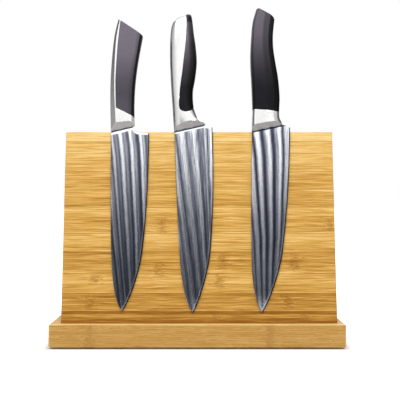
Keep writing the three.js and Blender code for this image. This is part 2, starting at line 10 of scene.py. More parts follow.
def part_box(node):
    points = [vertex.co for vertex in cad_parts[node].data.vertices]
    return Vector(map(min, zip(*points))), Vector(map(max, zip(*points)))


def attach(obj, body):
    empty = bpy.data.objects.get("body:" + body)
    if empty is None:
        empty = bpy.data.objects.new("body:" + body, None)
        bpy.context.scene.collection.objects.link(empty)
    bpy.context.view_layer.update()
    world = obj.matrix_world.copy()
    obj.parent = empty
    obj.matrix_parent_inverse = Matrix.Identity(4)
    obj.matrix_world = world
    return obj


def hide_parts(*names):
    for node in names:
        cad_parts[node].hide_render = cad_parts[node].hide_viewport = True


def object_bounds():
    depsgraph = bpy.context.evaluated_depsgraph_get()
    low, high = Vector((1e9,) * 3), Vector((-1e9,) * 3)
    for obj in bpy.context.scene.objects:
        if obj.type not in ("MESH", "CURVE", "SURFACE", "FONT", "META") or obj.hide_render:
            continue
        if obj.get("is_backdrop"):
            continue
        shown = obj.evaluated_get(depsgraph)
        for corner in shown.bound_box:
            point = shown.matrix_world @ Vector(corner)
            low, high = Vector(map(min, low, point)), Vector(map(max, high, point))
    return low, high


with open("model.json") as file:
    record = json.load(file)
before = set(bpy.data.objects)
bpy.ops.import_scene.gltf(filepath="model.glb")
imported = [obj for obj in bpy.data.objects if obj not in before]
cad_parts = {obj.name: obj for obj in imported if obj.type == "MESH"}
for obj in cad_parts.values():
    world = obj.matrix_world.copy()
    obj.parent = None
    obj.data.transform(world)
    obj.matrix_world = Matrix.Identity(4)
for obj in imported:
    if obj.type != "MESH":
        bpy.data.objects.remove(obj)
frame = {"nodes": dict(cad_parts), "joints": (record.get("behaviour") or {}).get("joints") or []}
cad_low, cad_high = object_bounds()


# ============ base board
# One solid bamboo board, pressed from narrow strips that stand on edge, planed, eased and oiled.
# The two panels are screwed to it from below, and four rubber feet are let into its underside.

BASE_STRIP = 0.0062
# How much the strips' shades differ, and the darkest of them.
BASE_SHADES = (0.16, 0.68)
# Along the board, and from its front edge.
BASE_KNUCKLES = [(-0.1162, 0.003), (0.078, 0.003), (0.022, 0.088), (-0.06, 0.037), (0.11, 0.018)]

STEM_SHINE = (0.97, 0.705, 0.29, 1)
STEM_PALE = (0.92, 0.56, 0.152, 1)
STEM_MID = (0.63, 0.325, 0.053, 1)
STEM_DEEP = (0.31, 0.12, 0.008, 1)
STEM_SCAR = (0.29, 0.11, 0.004, 1)


def feed(node, feeds):
    """Sets a node's inputs to values, or links them from other outputs."""
    for socket, value in dict(feeds).items():
        if isinstance(value, bpy.types.NodeSocket):
            node.id_data.links.new(value, node.inputs[socket])
        else:
            node.inputs[socket].default_value = value


def shader_node(tree, kind, feeds=(), output=0, **settings):
    """Adds a node with its settings and feeds, and gives one of its outputs."""
    made = tree.nodes.new("ShaderNode" + kind)
    for name, value in settings.items():
        setattr(made, name, value)
    feed(made, feeds)
    return made.outputs[output]


def tree_of(*values):
    """The node tree of the first output among the values."""
    return next(value for value in values if isinstance(value, bpy.types.NodeSocket)).id_data


def sum_up(operation, *values):
    """A Math node on two or three values or outputs."""
    return shader_node(tree_of(*values), "Math", enumerate(values), operation=operation)


def plus(first, second):
    return sum_up("ADD", first, second)


def minus(first, second):
    return sum_up("SUBTRACT", first, second)


def times(first, second):
    return sum_up("MULTIPLY", first, second)


def linear(value, factor, added):
    return sum_up("MULTIPLY_ADD", value, factor, added)


def sway(noise_value, reach, middle):
    """Carries a noise, whose middle is a half, to a reach about another middle."""
    return linear(minus(noise_value, 0.5), reach, middle)


def own_place(tree):
    return shader_node(tree, "TexCoord", output="Object")


def split(vector):
    """A vector's outputs X, Y and Z."""
    return shader_node(vector.id_data, "SeparateXYZ", {0: vector}).node.outputs


def mapped(vector, **feeds):
    """A vector turned by Rotation and moved by Location."""
    return shader_node(vector.id_data, "Mapping", {"Vector": vector, **feeds})


def moved(vector, by):
    return shader_node(vector.id_data, "VectorMath", {0: vector, 1: by}, operation="ADD")


def scaled(vector, factor):
    return shader_node(vector.id_data, "VectorMath", {0: vector, "Scale": factor}, operation="SCALE")


def noise(vector, scale, detail=2.0):
    """Noise with one scale, or with one for each axis."""
    tree = vector.id_data
    feeds = {"Vector": vector, "Detail": detail}
    if isinstance(scale, tuple):
        feeds["Vector"] = shader_node(tree, "VectorMath", {0: vector, 1: scale}, operation="MULTIPLY")
    else:
        feeds["Scale"] = scale
    return shader_node(tree, "TexNoise", feeds)


def ramp(value, stops, interpolation="LINEAR"):
    """A colour ramp whose stops are (position, colour or grey)."""
    made = shader_node(value.id_data, "ValToRGB", {0: value})
    steps = made.node.color_ramp
    steps.interpolation = interpolation
    while len(steps.elements) < len(stops):
        steps.elements.new(1)
    for element, (position, colour) in zip(steps.elements, stops):
        element.position = position
        element.color = colour if isinstance(colour, tuple) else (colour, colour, colour, 1)
    return made


def blend_colour(share, first, second):
    feeds = {0: share, 6: first, 7: second}
    return shader_node(tree_of(share, first), "Mix", feeds, output=2, data_type="RGBA")


def new_group(name, inputs, outputs):
    """A shader node group with named sockets. Gives the group, what it is given and its output node."""
    group = bpy.data.node_groups.new(name, "ShaderNodeTree")
    for in_out, sockets in (("INPUT", inputs), ("OUTPUT", outputs)):
        for socket, kind in sockets.items():
            group.interface.new_socket(socket, in_out=in_out, socket_type="NodeSocket" + kind)
    return group, group.nodes.new("NodeGroupInput").outputs, group.nodes.new("NodeGroupOutput")


def use_group(group, feeds):
    tree = tree_of(*feeds.values())
    return shader_node(tree, "Group", feeds, node_tree=group).node.outputs


def new_material(name, constants=()):
    """A material and its shader's constants. Gives the material, its tree and the shader."""
    material = bpy.data.materials.new(name)
    material.use_nodes = True
    tree = material.node_tree
    feed(tree.nodes["Principled BSDF"], constants)
    return material, tree, tree.nodes["Principled BSDF"]


def wear(shader, colour, roughness, height, strength, distance):
    """Feeds a shader its colour and roughness, and its normal from a height."""
    feeds = {"Strength": strength, "Distance": distance, "Height": height}
    normal = shader_node(shader.id_data, "Bump", feeds)
    feed(shader, {"Base Color": colour, "Roughness": roughness, "Normal": normal})


def finish_nodes(part, material):
    """Gives its material to every CAD node that has this in its name."""
    for name, node in frame["nodes"].items():
        if part in name:
            node.data.materials.clear()
            node.data.materials.append(material)


# Bamboo: long fibres in strips, each with its own shade, dark glue lines and the stem's knuckles.
bamboo, given, result = new_group(
    "bamboo",
    {"Grain": "Vector", "Shade": "Float", "Joint": "Float", "Knuckle": "Float", "End": "Float"},
    {"Color": "Color", "Roughness": "Float", "Height": "Float"},
)
# The fibres run nearly straight, with a slow wave.
wave = noise(given["Grain"], (8, 25, 25), 0.0)
wavy = shader_node(bamboo, "CombineXYZ", {"Y": times(wave, 0.0022)})
wavy = moved(given["Grain"], wavy)
sheets = noise(wavy, (2.6, 60, 60), 1.0)
bands = noise(wavy, (3.2, 230, 230), 4.0)
fibres = noise(wavy, (7, 950, 950), 3.0)
pores = noise(wavy, (26, 2600, 2600), 1.0)
tone = sway(sheets, 0.5, given["Shade"])
tone = sway(bands, 1.5, tone)
tone = sway(fibres, 2.0, tone)
stem = ramp(tone, [(0.1, STEM_DEEP), (0.5, STEM_MID), (0.88, STEM_PALE), (1.0, STEM_SHINE)])
pore_mask = times(ramp(pores, [(0.6, 0.0), (0.72, 1.0)]), 0.35)
stem = blend_colour(pore_mask, stem, STEM_DEEP)
# Cut across, the fibres show as dark dots.
dots = shader_node(bamboo, "TexVoronoi", {"Vector": given["Grain"], "Scale": 800.0})
dots = times(ramp(dots, [(0.25, 1.0), (0.5, 0.0)]), times(given["End"], 0.55))
stem = blend_colour(dots, stem, STEM_SCAR)
stem = blend_colour(times(given["Joint"], 0.4), stem, STEM_DEEP)
stem = blend_colour(times(given["Knuckle"], 0.8), stem, STEM_SCAR)
dull = linear(fibres, 0.2, 0.36)
lows = plus(given["Joint"], given["Knuckle"])
height = minus(fibres, times(lows, 0.5))
feed(result, {"Color": stem, "Roughness": dull, "Height": height})

# A knuckle: short dark ticks across one strip, where the stem's wall was, with the fibres bent round
# them. Mask is where it shows, and Bend is how far the fibres swerve there.
knuckle, given, result = new_group(
    "knuckle",
    {"Grain": "Vector", "Along": "Float", "Across": "Float", "Reach": "Float"},
    {"Mask": "Float", "Bend": "Float"},
)
wander = noise(given["Grain"], (30, 160, 160))
spot = split(given["Grain"])
away = minus(spot["X"], given["Along"])
away = sway(wander, 0.03, away)
away = sum_up("ABSOLUTE", times(away, 100))
aside = sum_up("ABSOLUTE", minus(spot["Y"], given["Across"]))
inside = ramp(sum_up("DIVIDE", aside, given["Reach"]), [(0.5, 1.0), (0.95, 0.0)])
core = times(ramp(away, [(0.12, 1.0), (0.5, 0.0)]), inside)
swerve = times(ramp(away, [(0.2, 1.0), (0.95, 0.0)], "EASE"), inside)
ticks = ramp(noise(given["Grain"], (230, 620, 620), 3.0), [(0.46, 0.22), (0.56, 1.0)])
swerve = times(swerve, minus(wander, 0.5))
feed(result, {"Mask": times(core, ticks), "Bend": swerve})


def add_knuckles(grain, places):
    """Puts a knuckle at each (along, across, reach). Gives their mask and the grain bent round them."""
    mask = bend = None
    for along, across, reach in places:
        one = use_group(knuckle, {"Grain": grain, "Along": along, "Across": across, "Reach": reach})
        mask = sum_up("MAXIMUM", mask, one["Mask"]) if mask else one["Mask"]
        bend = plus(bend, one["Bend"]) if bend else one["Bend"]
    swerve = shader_node(grain.id_data, "CombineXYZ", {"Y": times(bend, 0.008)})
    return mask, moved(grain, swerve)


def end_mask(tree):
    """1 on the faces that look along X, where the fibres are cut across."""
    facing = split(shader_node(tree, "TexCoord", output="Normal"))["X"]
    return sum_up("GREATER_THAN", sum_up("ABSOLUTE", facing), 0.8)


def lay_bamboo(tree, grain, shade, joint, scars):
    feeds = {"Grain": grain, "Shade": shade, "Joint": joint, "Knuckle": scars, "End": end_mask(tree)}
    return use_group(bamboo, feeds)


CORNER = 0.005
BASE_EVEN = (0.555, 0.295, 0.035, 1)
GLUE_HALF = 0.00012

base_low, base_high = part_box("base_board")
base_bamboo, tree, shader = new_material("base_bamboo", {"Specular IOR Level": 0.4})
grain = own_place(tree)
# Across the strips is front to back, counted from the front edge.
centred = mapped(grain, Location=(0, -base_low.y, 0))
row = split(centred)["Y"]
strip = sum_up("FLOOR", sum_up("DIVIDE", row, BASE_STRIP))
shade = shader_node(tree, "TexWhiteNoise", {"W": strip}, output="Value", noise_dimensions="1D")
shade = linear(shade, *BASE_SHADES)
joint = sum_up("LESS_THAN", sum_up("PINGPONG", row, BASE_STRIP / 2), GLUE_HALF)
scars, bent = add_knuckles(centred, [(x, y, BASE_STRIP) for x, y in BASE_KNUCKLES])
# Each strip has streaks of its own.
bent = moved(bent, shader_node(tree, "CombineXYZ", {"X": times(strip, 3.7)}))
look = lay_bamboo(tree, bent, shade, joint, scars)
oiled = blend_colour(0.3, look["Color"], BASE_EVEN)
# The front's top corner gets a painted highlight in paler wood, with a painted shade line where its
# rounding ends.
level = split(grain)["Z"]
depth = sum_up("DIVIDE", minus(base_high.z, level), CORNER)
line = ramp(depth, [(0.05, 1.0), (0.1, 0.78), (0.24, 0.82), (0.4, 1.0)])
oiled = scaled(oiled, line)
painted_corner_highlight = ramp(sum_up("DIVIDE", row, CORNER), [(0.7, 0.85), (1.0, 0.0)])
painted_corner_highlight = times(painted_corner_highlight, ramp(depth, [(0.05, 1.0), (0.1, 0.0)]))
oiled = blend_colour(painted_corner_highlight, oiled, STEM_SHINE)
wear(shader, oiled, look["Roughness"], look["Height"], 0.25, 0.0004)
finish_nodes("base_board", base_bamboo)


# ============ feet
# Four soft rubber discs with a rounded rim and a dished sole. Each is glued into a shallow recess
# under the board, and stands a little proud of it.

FOOT_ROUNDING = 0.0007
FOOT_RIM = 0.0024
FOOT_DISH = 0.0004


def mottled(name, scale, detail, colours, roughness, bump, metallic=0):
    """A material that one noise varies: its colours, its roughness (reach and least) and its surface."""
    material, tree, shader = new_material(name, {"Metallic": metallic})
    spots = noise(own_place(tree), scale, detail)
    shades = ramp(spots, [(at, (*colour, 1)) for at, colour in colours])
    wear(shader, shades, linear(spots, *roughness), spots, bump, 0.0002)
    return material


rubber = [(0.3, (0.012, 0.012, 0.013)), (0.8, (0.045, 0.043, 0.04))]
foot_rubber = mottled("foot_rubber", 900.0, 4.0, rubber, (0.2, 0.7), 0.3)


def set_mode(mode):
    bpy.ops.object.mode_set(mode=mode)


def select_mesh(action):
    bpy.ops.mesh.select_all(action=action)


def deselect_all():
    if bpy.context.object and bpy.context.object.mode != "OBJECT":
        set_mode("OBJECT")
    bpy.ops.object.select_all(action="DESELECT")


def start_piece(name):
    """Names the primitive that was just added and opens it in edit mode, with nothing selected."""
    piece = bpy.context.object
    piece.name = piece.data.name = name
    bpy.ops.object.transform_apply(location=True, rotation=True, scale=True)
    set_mode("EDIT")
    select_mesh("DESELECT")
    return piece


def pick(piece, kind, wanted):
    """Selects the faces or the edges that the test wants, and nothing else."""
    bpy.ops.mesh.select_mode(type=kind[:-1].upper())
    select_mesh("DESELECT")
    mesh = bmesh.from_edit_mesh(piece.data)
    mesh.normal_update()
    for element in getattr(mesh, kind):
        if wanted(element):
            element.select_set(True)
    mesh.select_flush_mode()
    bmesh.update_edit_mesh(piece.data)


def close_piece(piece, material, body, slot, *nodes):
    """Ends edit mode, gives the piece its material, hangs it on its body and hides the CAD nodes it
    replaces.
    """
    if piece.mode == "EDIT":
        set_mode("OBJECT")
    piece.data.materials.clear()
    piece.data.materials.append(material)
    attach(piece, body)
    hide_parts(*nodes)


for node in ("foot_front_left", "foot_front_right", "foot_back_left", "foot_back_right"):
    low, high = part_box(node)
    deselect_all()
    bpy.ops.mesh.primitive_cylinder_add(
        vertices=48, radius=(high.x - low.x) / 2, depth=high.z - low.z, location=(low + high) / 2
    )
    foot = start_piece(node + "_pad")
    pick(foot, "edges", lambda edge: abs(edge.verts[0].co.z - edge.verts[1].co.z) < 1e-6)
    bpy.ops.mesh.bevel(offset=FOOT_ROUNDING, segments=4)
    pick(foot, "faces", lambda face: face.normal.z < -0.9 and len(face.verts) > 4)
    bpy.ops.mesh.inset(thickness=FOOT_RIM)
    bpy.ops.mesh.inset(thickness=FOOT_DISH, depth=-FOOT_DISH)
    set_mode("OBJECT")
    bpy.ops.object.shade_smooth_by_angle(angle=math.radians(40))
    close_piece(foot, foot_rubber, "block", "foot_rubber", node)


# ============ base screws
# Six countersunk wood screws with a cross recess, of steel plated with yellow zinc. They are driven
# up through the base board into the backing boards.

zinc = [(0.3, (0.5, 0.4, 0.16)), (0.6, (0.68, 0.6, 0.34)), (0.8, (0.55, 0.5, 0.42))]
finish_nodes("base_screw", mottled("screw_zinc", 700.0, 3.0, zinc, (0.25, 0.22), 0.15, 1))


# ============ leaning panels
# Two leaves of bamboo glued face to face and mitred at the ridge. The face board's strips lie level,
# each about 20 mm high, and the lowest one is trimmed to meet the base.

# The strips of the face board, and the broader streaks in them: lower edge up the slope, and the shade
# at the lower and at the upper edge, from deep to pale. The lowest strip's dark foot is painted shade
# where the panel meets the base.
STRIPS = [
    (0.0, -0.06, 0.5), (0.0096, 0.02, 0.0), (0.0134, 0.44, 0.42), (0.0265, 0.44, 0.3), (0.0329, 0.57, 0.55),
    (0.0434, 0.75, 0.62), (0.0547, 0.62, 0.4), (0.07, 0.61, 0.38), (0.0786, 0.56, 0.8),
    (0.0988, 0.63, 0.57), (0.1135, 0.57, 0.8), (0.1282, 0.46, 0.7), (0.1486, 0.54, 0.67),
    (0.169, 0.64, 0.84), (0.19, 0.82, 0.72), (0.2035, 0.96, 0.98),
]
STRIP_EDGES = [0.0134, 0.0329, 0.0547, 0.0786, 0.0988, 0.1282, 0.1486, 0.169, 0.19, 0.2035]
GLUE_LINE = 0.0004
LIT_EDGE = 0.0005
# Knuckles: along the panel, up its slope, and their half reach across the strips.
FRONT_KNUCKLES = [
    (-0.1165, 0.0225, 0.0095), (-0.112, 0.0475, 0.007), (-0.0425, 0.0575, 0.0105), (-0.039, 0.107, 0.0105),
    (0.0205, 0.0075, 0.0055), (0.0245, 0.046, 0.011), (0.0285, 0.0665, 0.0115), (0.099, 0.0235, 0.0095),
    (0.107, 0.0665, 0.0115), (0.116, 0.0065, 0.006), (0.1465, 0.108, 0.0095),
]
BACK_KNUCKLES = [
    (-0.121, 0.0975, 0.0115), (-0.074, 0.0235, 0.0095), (-0.018, 0.138, 0.01), (0.031, 0.0665, 0.0115),
    (0.062, 0.179, 0.0105), (0.088, 0.0235, 0.0095), (0.127, 0.118, 0.0145),
]

panel_low, panel_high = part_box("front_face_board")
outward = Vector(frame["joints"][0]["axis"])
lean = math.asin(outward.z)
slope = (panel_high.z - panel_low.z) / math.cos(lean)


def panel_bamboo(name, knuckles, half_turn):
    """Bamboo whose strips lie up the slope of the front panel, or of the back one after half a turn."""
    material, tree, shader = new_material(name, {"Specular IOR Level": 0.15})
    grain = own_place(tree)
    if half_turn:
        grain = mapped(grain, Rotation=(0, 0, math.pi))
    grain = mapped(grain, Location=(0, -panel_low.y, -panel_low.z))
    # Leaned back to upright, then laid down, so that Y runs up the slope.
    grain = mapped(grain, Rotation=(lean - math.pi / 2, 0, 0))
    height = split(grain)["Y"]
    stops = []
    for (low, shade_low, shade_high), next_strip in zip(STRIPS, STRIPS[1:] + [(slope, 0, 0)]):
        stops += [(low / slope, shade_low), (next_strip[0] / slope - 0.002, shade_high)]
    shade = ramp(sum_up("DIVIDE", height, slope), stops)
    # Each strip has a dark glue line below it, and a painted highlight along its lower edge.
    joint = lit = 0.0
    for edge in STRIP_EDGES:
        joint = sum_up("MAXIMUM", joint, sum_up("COMPARE", height, edge - GLUE_LINE, GLUE_LINE))
        lit = sum_up("MAXIMUM", lit, sum_up("COMPARE", height, edge + LIT_EDGE, LIT_EDGE))
    shade = linear(lit, 0.16, shade)
    scars, bent = add_knuckles(grain, knuckles)
    if half_turn:
        # Other streaks than the front's.
        bent = mapped(bent, Location=(5, 0, 0))
    look = lay_bamboo(tree, bent, shade, joint, scars)
    wear(shader, look["Color"], look["Roughness"], look["Height"], 0.25, 0.0004)
    return material


front_bamboo = panel_bamboo("front_bamboo", FRONT_KNUCKLES, False)
back_bamboo = panel_bamboo("back_bamboo", BACK_KNUCKLES, True)
for leaf in ("face_board", "backing_board"):
    finish_nodes("front_" + leaf, front_bamboo)
    finish_nodes("back_" + leaf, back_bamboo)


# ============ magnets and keepers
# Bar magnets of sintered alloy lie in channels milled behind each face board. A strip of mild steel
# over each row keeps them in, and the backing board closes the channel.

sintered = [(0.3, (0.05, 0.05, 0.055)), (0.75, (0.12, 0.12, 0.125))]
finish_nodes("_magnet_", mottled("magnet_grey", 1500.0, 4.0, sintered, (0.2, 0.5), 0.3, 0.4))
rolled = [(0.3, (0.3, 0.3, 0.31)), (0.7, (0.5, 0.5, 0.51))]
finish_nodes("_keeper", mottled("keeper_steel", (20, 900, 900), 3.0, rolled, (0.2, 0.4), 0.2, 1))


# ============ ridge glue and dowels
# The two backing boards meet in a mitre at the ridge, which a film of wood glue closes. Three short
# beech dowels across the mitre tie the panels together.

GLUE_SET_BACK = 0.0004
GLUE_SQUEEZE = 1.8

amber = [(0.3, (0.3, 0.14, 0.03)), (0.7, (0.5, 0.27, 0.07))]
glue_amber = mottled("glue_amber", (120, 120, 500), 3.0, amber, (0.2, 0.5), 0.3)

backing_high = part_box("front_backing_board")[1]
corners = [vertex.co for vertex in frame["nodes"]["front_backing_board"].data.vertices]
mitre = [corner.z for corner in corners if corner.y > backing_high.y - 0.0001]
wide = panel_high.x - panel_low.x - 2 * GLUE_SET_BACK
tall = max(mitre) - min(mitre) - 2 * GLUE_SET_BACK
deselect_all()
bpy.ops.mesh.primitive_cube_add(size=1, location=(0, 0, (min(mitre) + max(mitre)) / 2))
bpy.ops.transform.resize(value=(wide, -2 * backing_high.y, tall))
ridge_glue = start_piece("ridge_glue")
# It is squeezed out a little along its lower edge, and sinks between the boards along the top.
pick(ridge_glue, "faces", lambda face: face.normal.z < -0.5)
bpy.ops.transform.resize(value=(1, GLUE_SQUEEZE, 1))
bpy.ops.transform.translate(value=(0, 0, -GLUE_SET_BACK))
pick(ridge_glue, "faces", lambda face: face.normal.z > 0.5)
bpy.ops.mesh.inset(thickness=-backing_high.y * 0.6)
bpy.ops.transform.translate(value=(0, 0, -GLUE_SET_BACK))
close_piece(ridge_glue, glue_amber, "block", "dowel_wood")

pale = [(0.3, (0.5, 0.33, 0.17)), (0.7, (0.68, 0.5, 0.29))]
finish_nodes("ridge_dowel", mottled("beech", (900, 60, 900), 3.0, pale, (0.2, 0.55), 0.2))


# ============ blades
# Three forged steel blades of one pattern, 200 mm long, which the magnets hold. Both faces are ground
# with a fan of shallow flutes and bevelled to the edge. Their bands, dark down one flank and bright in
# the hollow, are partly an etched pattern and partly painted reflection.

# Each knife is drawn flat in millimetres: x from the spine to the edge, y up from the bolster's corner
# to the butt, z out of the face. Then it is laid on the panel.
MM = 0.001
BLADE_LENGTH = 201.5
BLADE_WIDTH = 42.6
# Half thicknesses: on a crest between flutes, at the edge, and where the edge's bevel would end.
CREST = 1.15
EDGE_HALF = 0.2
BEVEL_TOP = CREST * 1.08
EDGE_BEVEL = 6
BEVEL_BLEND = 0.06
FLUTE_DEPTH = 0.36
SPINE_ROUNDING = 1.2
SPINE_CORNER = 0.6
SPINE_BLEND = 0.05
# What share of its thickness the blade loses down to its point.
TAPER = 0.3
TIP_X = 0.343 * BLADE_WIDTH
TIP_HALF = 0.3
GAP_BEHIND = 0.3
ABOVE_RIDGE = 0.6
# How far down the flutes begin to draw together, and the longer points begin to be drawn out.
TIP_TURN = 122
TIP_START = 150
TIP_SPAN = 50
SPINE = [
    [(0, 20), (0, -60.5), (0.77, -109.8), (2.51, -148.1)],
    [(2.51, -148.1), (3.92, -174.9), (7.67, -192), (TIP_X - TIP_HALF, -BLADE_LENGTH)],
]
BELLY = [
    [(42.6, 20), (42.9, -50), (40.9, -94.9), (35.78, -139)],
    [(35.78, -139), (32.72, -160), (23.56, -189), (TIP_X + TIP_HALF, -BLADE_LENGTH)],
]


def knife_pose(along, tilt):
    """Takes a knife drawn in millimetres to its place on the front panel."""
    foot = Vector(((panel_low.x + panel_high.x) / 2, panel_low.y, panel_low.z))
    up = Vector((0, math.sin(lean), math.cos(lean)))
    axes = Matrix((Vector((1, 0, 0)), up, outward)).transposed().to_4x4()
    seat = Vector((along - foot.x, slope + ABOVE_RIDGE * MM, (GAP_BEHIND + CREST) * MM))
    turn = Matrix.Rotation(math.radians(tilt), 4, "Z")
    return Matrix.Translation(foot) @ axes @ Matrix.Translation(seat) @ turn @ Matrix.Scale(MM, 4)


LEFT_POSE = knife_pose(-0.09684, 0.2)
MIDDLE_POSE = knife_pose(-0.0255, 1.7)
RIGHT_POSE = knife_pose(0.0618, -1.75)
# How steeply the bolster's foot falls from the spine to the edge.
LEFT_SEAT = 0.245
MIDDLE_SEAT = 0.205
RIGHT_SEAT = 0.25


def bezier(t, a, b, c, d):
    u = 1 - t
    return u**3 * a + 3 * u * u * t * b + 3 * u * t * t * c + t**3 * d


def edge_x(segments, y):
    """The x of a Bezier outline at a height, found by halving."""
    across, up = zip(*next((s for s in segments if y >= s[3][1]), segments[-1]))
    low, high = 0.0, 1.0
    for _ in range(30):
        t = (low + high) / 2
        if bezier(t, *up) > y:
            low = t
        else:
            high = t
    return bezier(low, *across)


def soft_min(a, b, width):
    """The lesser of two heights, rounded where they cross."""
    overlap = max(width - abs(a - b), 0) / width
    return min(a, b) - overlap * overlap * width / 4


def along_points(points, x):
    """The height of a line through points at x, level beyond its ends."""
    for (x0, y0), (x1, y1) in zip(points, points[1:]):
        if x <= x1:
            share = max(0, min(1, (x - x0) / (x1 - x0)))
            return y0 + (y1 - y0) * share
    return points[-1][1]


STEEL_DARK = (0.012, 0.013, 0.024, 1)
STEEL_SHADE = (0.075, 0.08, 0.11, 1)
STEEL_GREY = (0.33, 0.35, 0.41, 1)
STEEL_BRIGHT = (0.95, 0.96, 0.98, 1)
# Shades from dark (0) to bright (1), and how much duller the painted glints at the point and on the whetted
# bevel are.
ETCHED_SHADED_EDGE = 0.05
TIP_EVEN_SHADE = 0.42
TIP_GLINT_SHADE = 0.5
TIP_GLINT_HAZE = 0.25
EDGE_GLINT_SHADE = 0.5
EDGE_GLINT_HAZE = 0.12
RICASSO_SHADE = 0.95
# The bands drift most at the middle flute, and about this height below the bolster, in 100 mm.
MIDDLE_FLUTE = 1.3
DRIFT_ABOUT = 0.59
CURL_FALL = 3.3
# How far in mm the heel counts as clear of the bolster's shade, and how much more at the edge.
HEEL_CLEAR = 2.5
HEEL_RISE = 1.5


def blend_value(share, first, second):
    return shader_node(share.id_data, "Mix", {0: share, 2: first, 3: second}, data_type="FLOAT")


def blade_steel(name, bands, drift, curl, tip, streaks, ricasso):
    """Fluted steel. The bands are shades by flute, counted from the spine, partly an etched pattern and
    partly painted reflection. They drift on the way down and curl back at the top. Tip says how far the
    bands are evened to a mid shade there, how much brighter they are painted there as painted light and
    how strong the painted highlight at the point is. Fine streaks run along them, and the ricasso at the
    top is plain."""
    tip_evening, tip_painted_gain, tip_glint_share = tip
    material, tree, shader = new_material(name, {"Metallic": 1})
    flute = shader_node(tree, "UVMap", uv_map="flutes")
    rims = split(shader_node(tree, "UVMap", uv_map="rims"))
    cross = split(flute)
    count = sway(noise(flute, (1.2, 3, 0)), 0.1, cross["X"])
    aside = minus(cross["X"], MIDDLE_FLUTE)
    further = linear(times(aside, aside), -drift / 4, drift)
    count = linear(plus(cross["Y"], DRIFT_ABOUT), further, count)
    below = times(cross["Y"], -CURL_FALL)
    count = plus(count, ramp(below, [(0.0, curl), (0.5, curl * 0.35), (1.0, 0.0)]))
    # The bands by flute are partly an etched pattern and partly painted reflection of the flutes' flanks.
    first, last = bands[0][0], bands[-1][0]
    place = sum_up("DIVIDE", minus(count, first), last - first)
    shade = ramp(place, [((at - first) / (last - first), grey) for at, grey in bands])
    # 0 at the bolster and about 1 at the point.
    down = times(cross["Y"], -0.5)
    # Towards the tip the bands are evened out and brightened as painted light, and the point gets a painted
    # highlight.
    shade = blend_value(ramp(down, [(0.45, 0.0), (0.9, tip_evening)]), shade, TIP_EVEN_SHADE)
    shade = times(shade, ramp(down, [(0.65, 1.0), (0.78, tip_painted_gain)]))
    painted_tip_glint = ramp(down, [(0.91, 0.0), (0.985, tip_glint_share)])
    shade = blend_value(painted_tip_glint, shade, TIP_GLINT_SHADE)
    brushed = noise(flute, (90, 5, 0), 3.0)
    smudge = noise(flute, (2, 12, 0), 3.0)
    drawn = noise(flute, (3.6, 0.7, 0))
    for grain, reach in ((brushed, 0.2), (drawn, streaks), (smudge, 0.5)):
        shade = times(shade, sway(grain, reach, 1))
    # Near the tip a painted highlight shows as a light line along the whetted bevel.
    painted_edge_glint = ramp(rims["Y"], [(0.1, 0.0), (0.15, 0.7), (0.24, 0.7), (0.34, 0.0)])
    painted_edge_glint = times(painted_edge_glint, ramp(down, [(0.5, 0.0), (0.6, 1.0)]))
    shade = blend_value(painted_edge_glint, shade, EDGE_GLINT_SHADE)
    # The corner of the spine is darkened as painted shade; the ground edge is darkened too, partly as an
    # etched band and partly as painted shade.
    shade = times(shade, ramp(rims["X"], [(0.03, 0.45), (0.08, 1.0)]))
    seat = split(shader_node(tree, "UVMap", uv_map="seat"))
    plain = minus(seat["Y"], ricasso)
    shade = blend_value(ramp(plain, [(0.0, 0.85), (0.12, 0.0)]), shade, RICASSO_SHADE)
    # Painted shadow in a thin dark line under the bolster with a painted highlight just below it, and a
    # painted shade line along the heel's top edge.
    shade = times(shade, ramp(seat["X"], [(0.17, 0.35), (0.24, 1.2), (0.95, 1.0)]))
    shade = times(shade, ramp(seat["Y"], [(0.29, 0.4), (0.33, 1.0)]))
    # The ground edge: partly an etched dark band, partly painted shade.
    shade = blend_value(ramp(rims["Y"], [(0.08, 1.0), (0.14, 0.0)]), shade, ETCHED_SHADED_EDGE)
    steels = [(0.02, STEEL_DARK), (0.15, STEEL_SHADE), (0.4, STEEL_GREY), (0.85, STEEL_BRIGHT)]
    haze = linear(smudge, 0.14, 0.08)
    haze = linear(painted_tip_glint, TIP_GLINT_HAZE, haze)
    haze = linear(painted_edge_glint, EDGE_GLINT_HAZE, haze)
    wear(shader, ramp(shade, steels), haze, brushed, 0.08, 0.0002)
    return material


def face_outward():
    select_mesh("SELECT")
    bpy.ops.mesh.normals_make_consistent(inside=False)


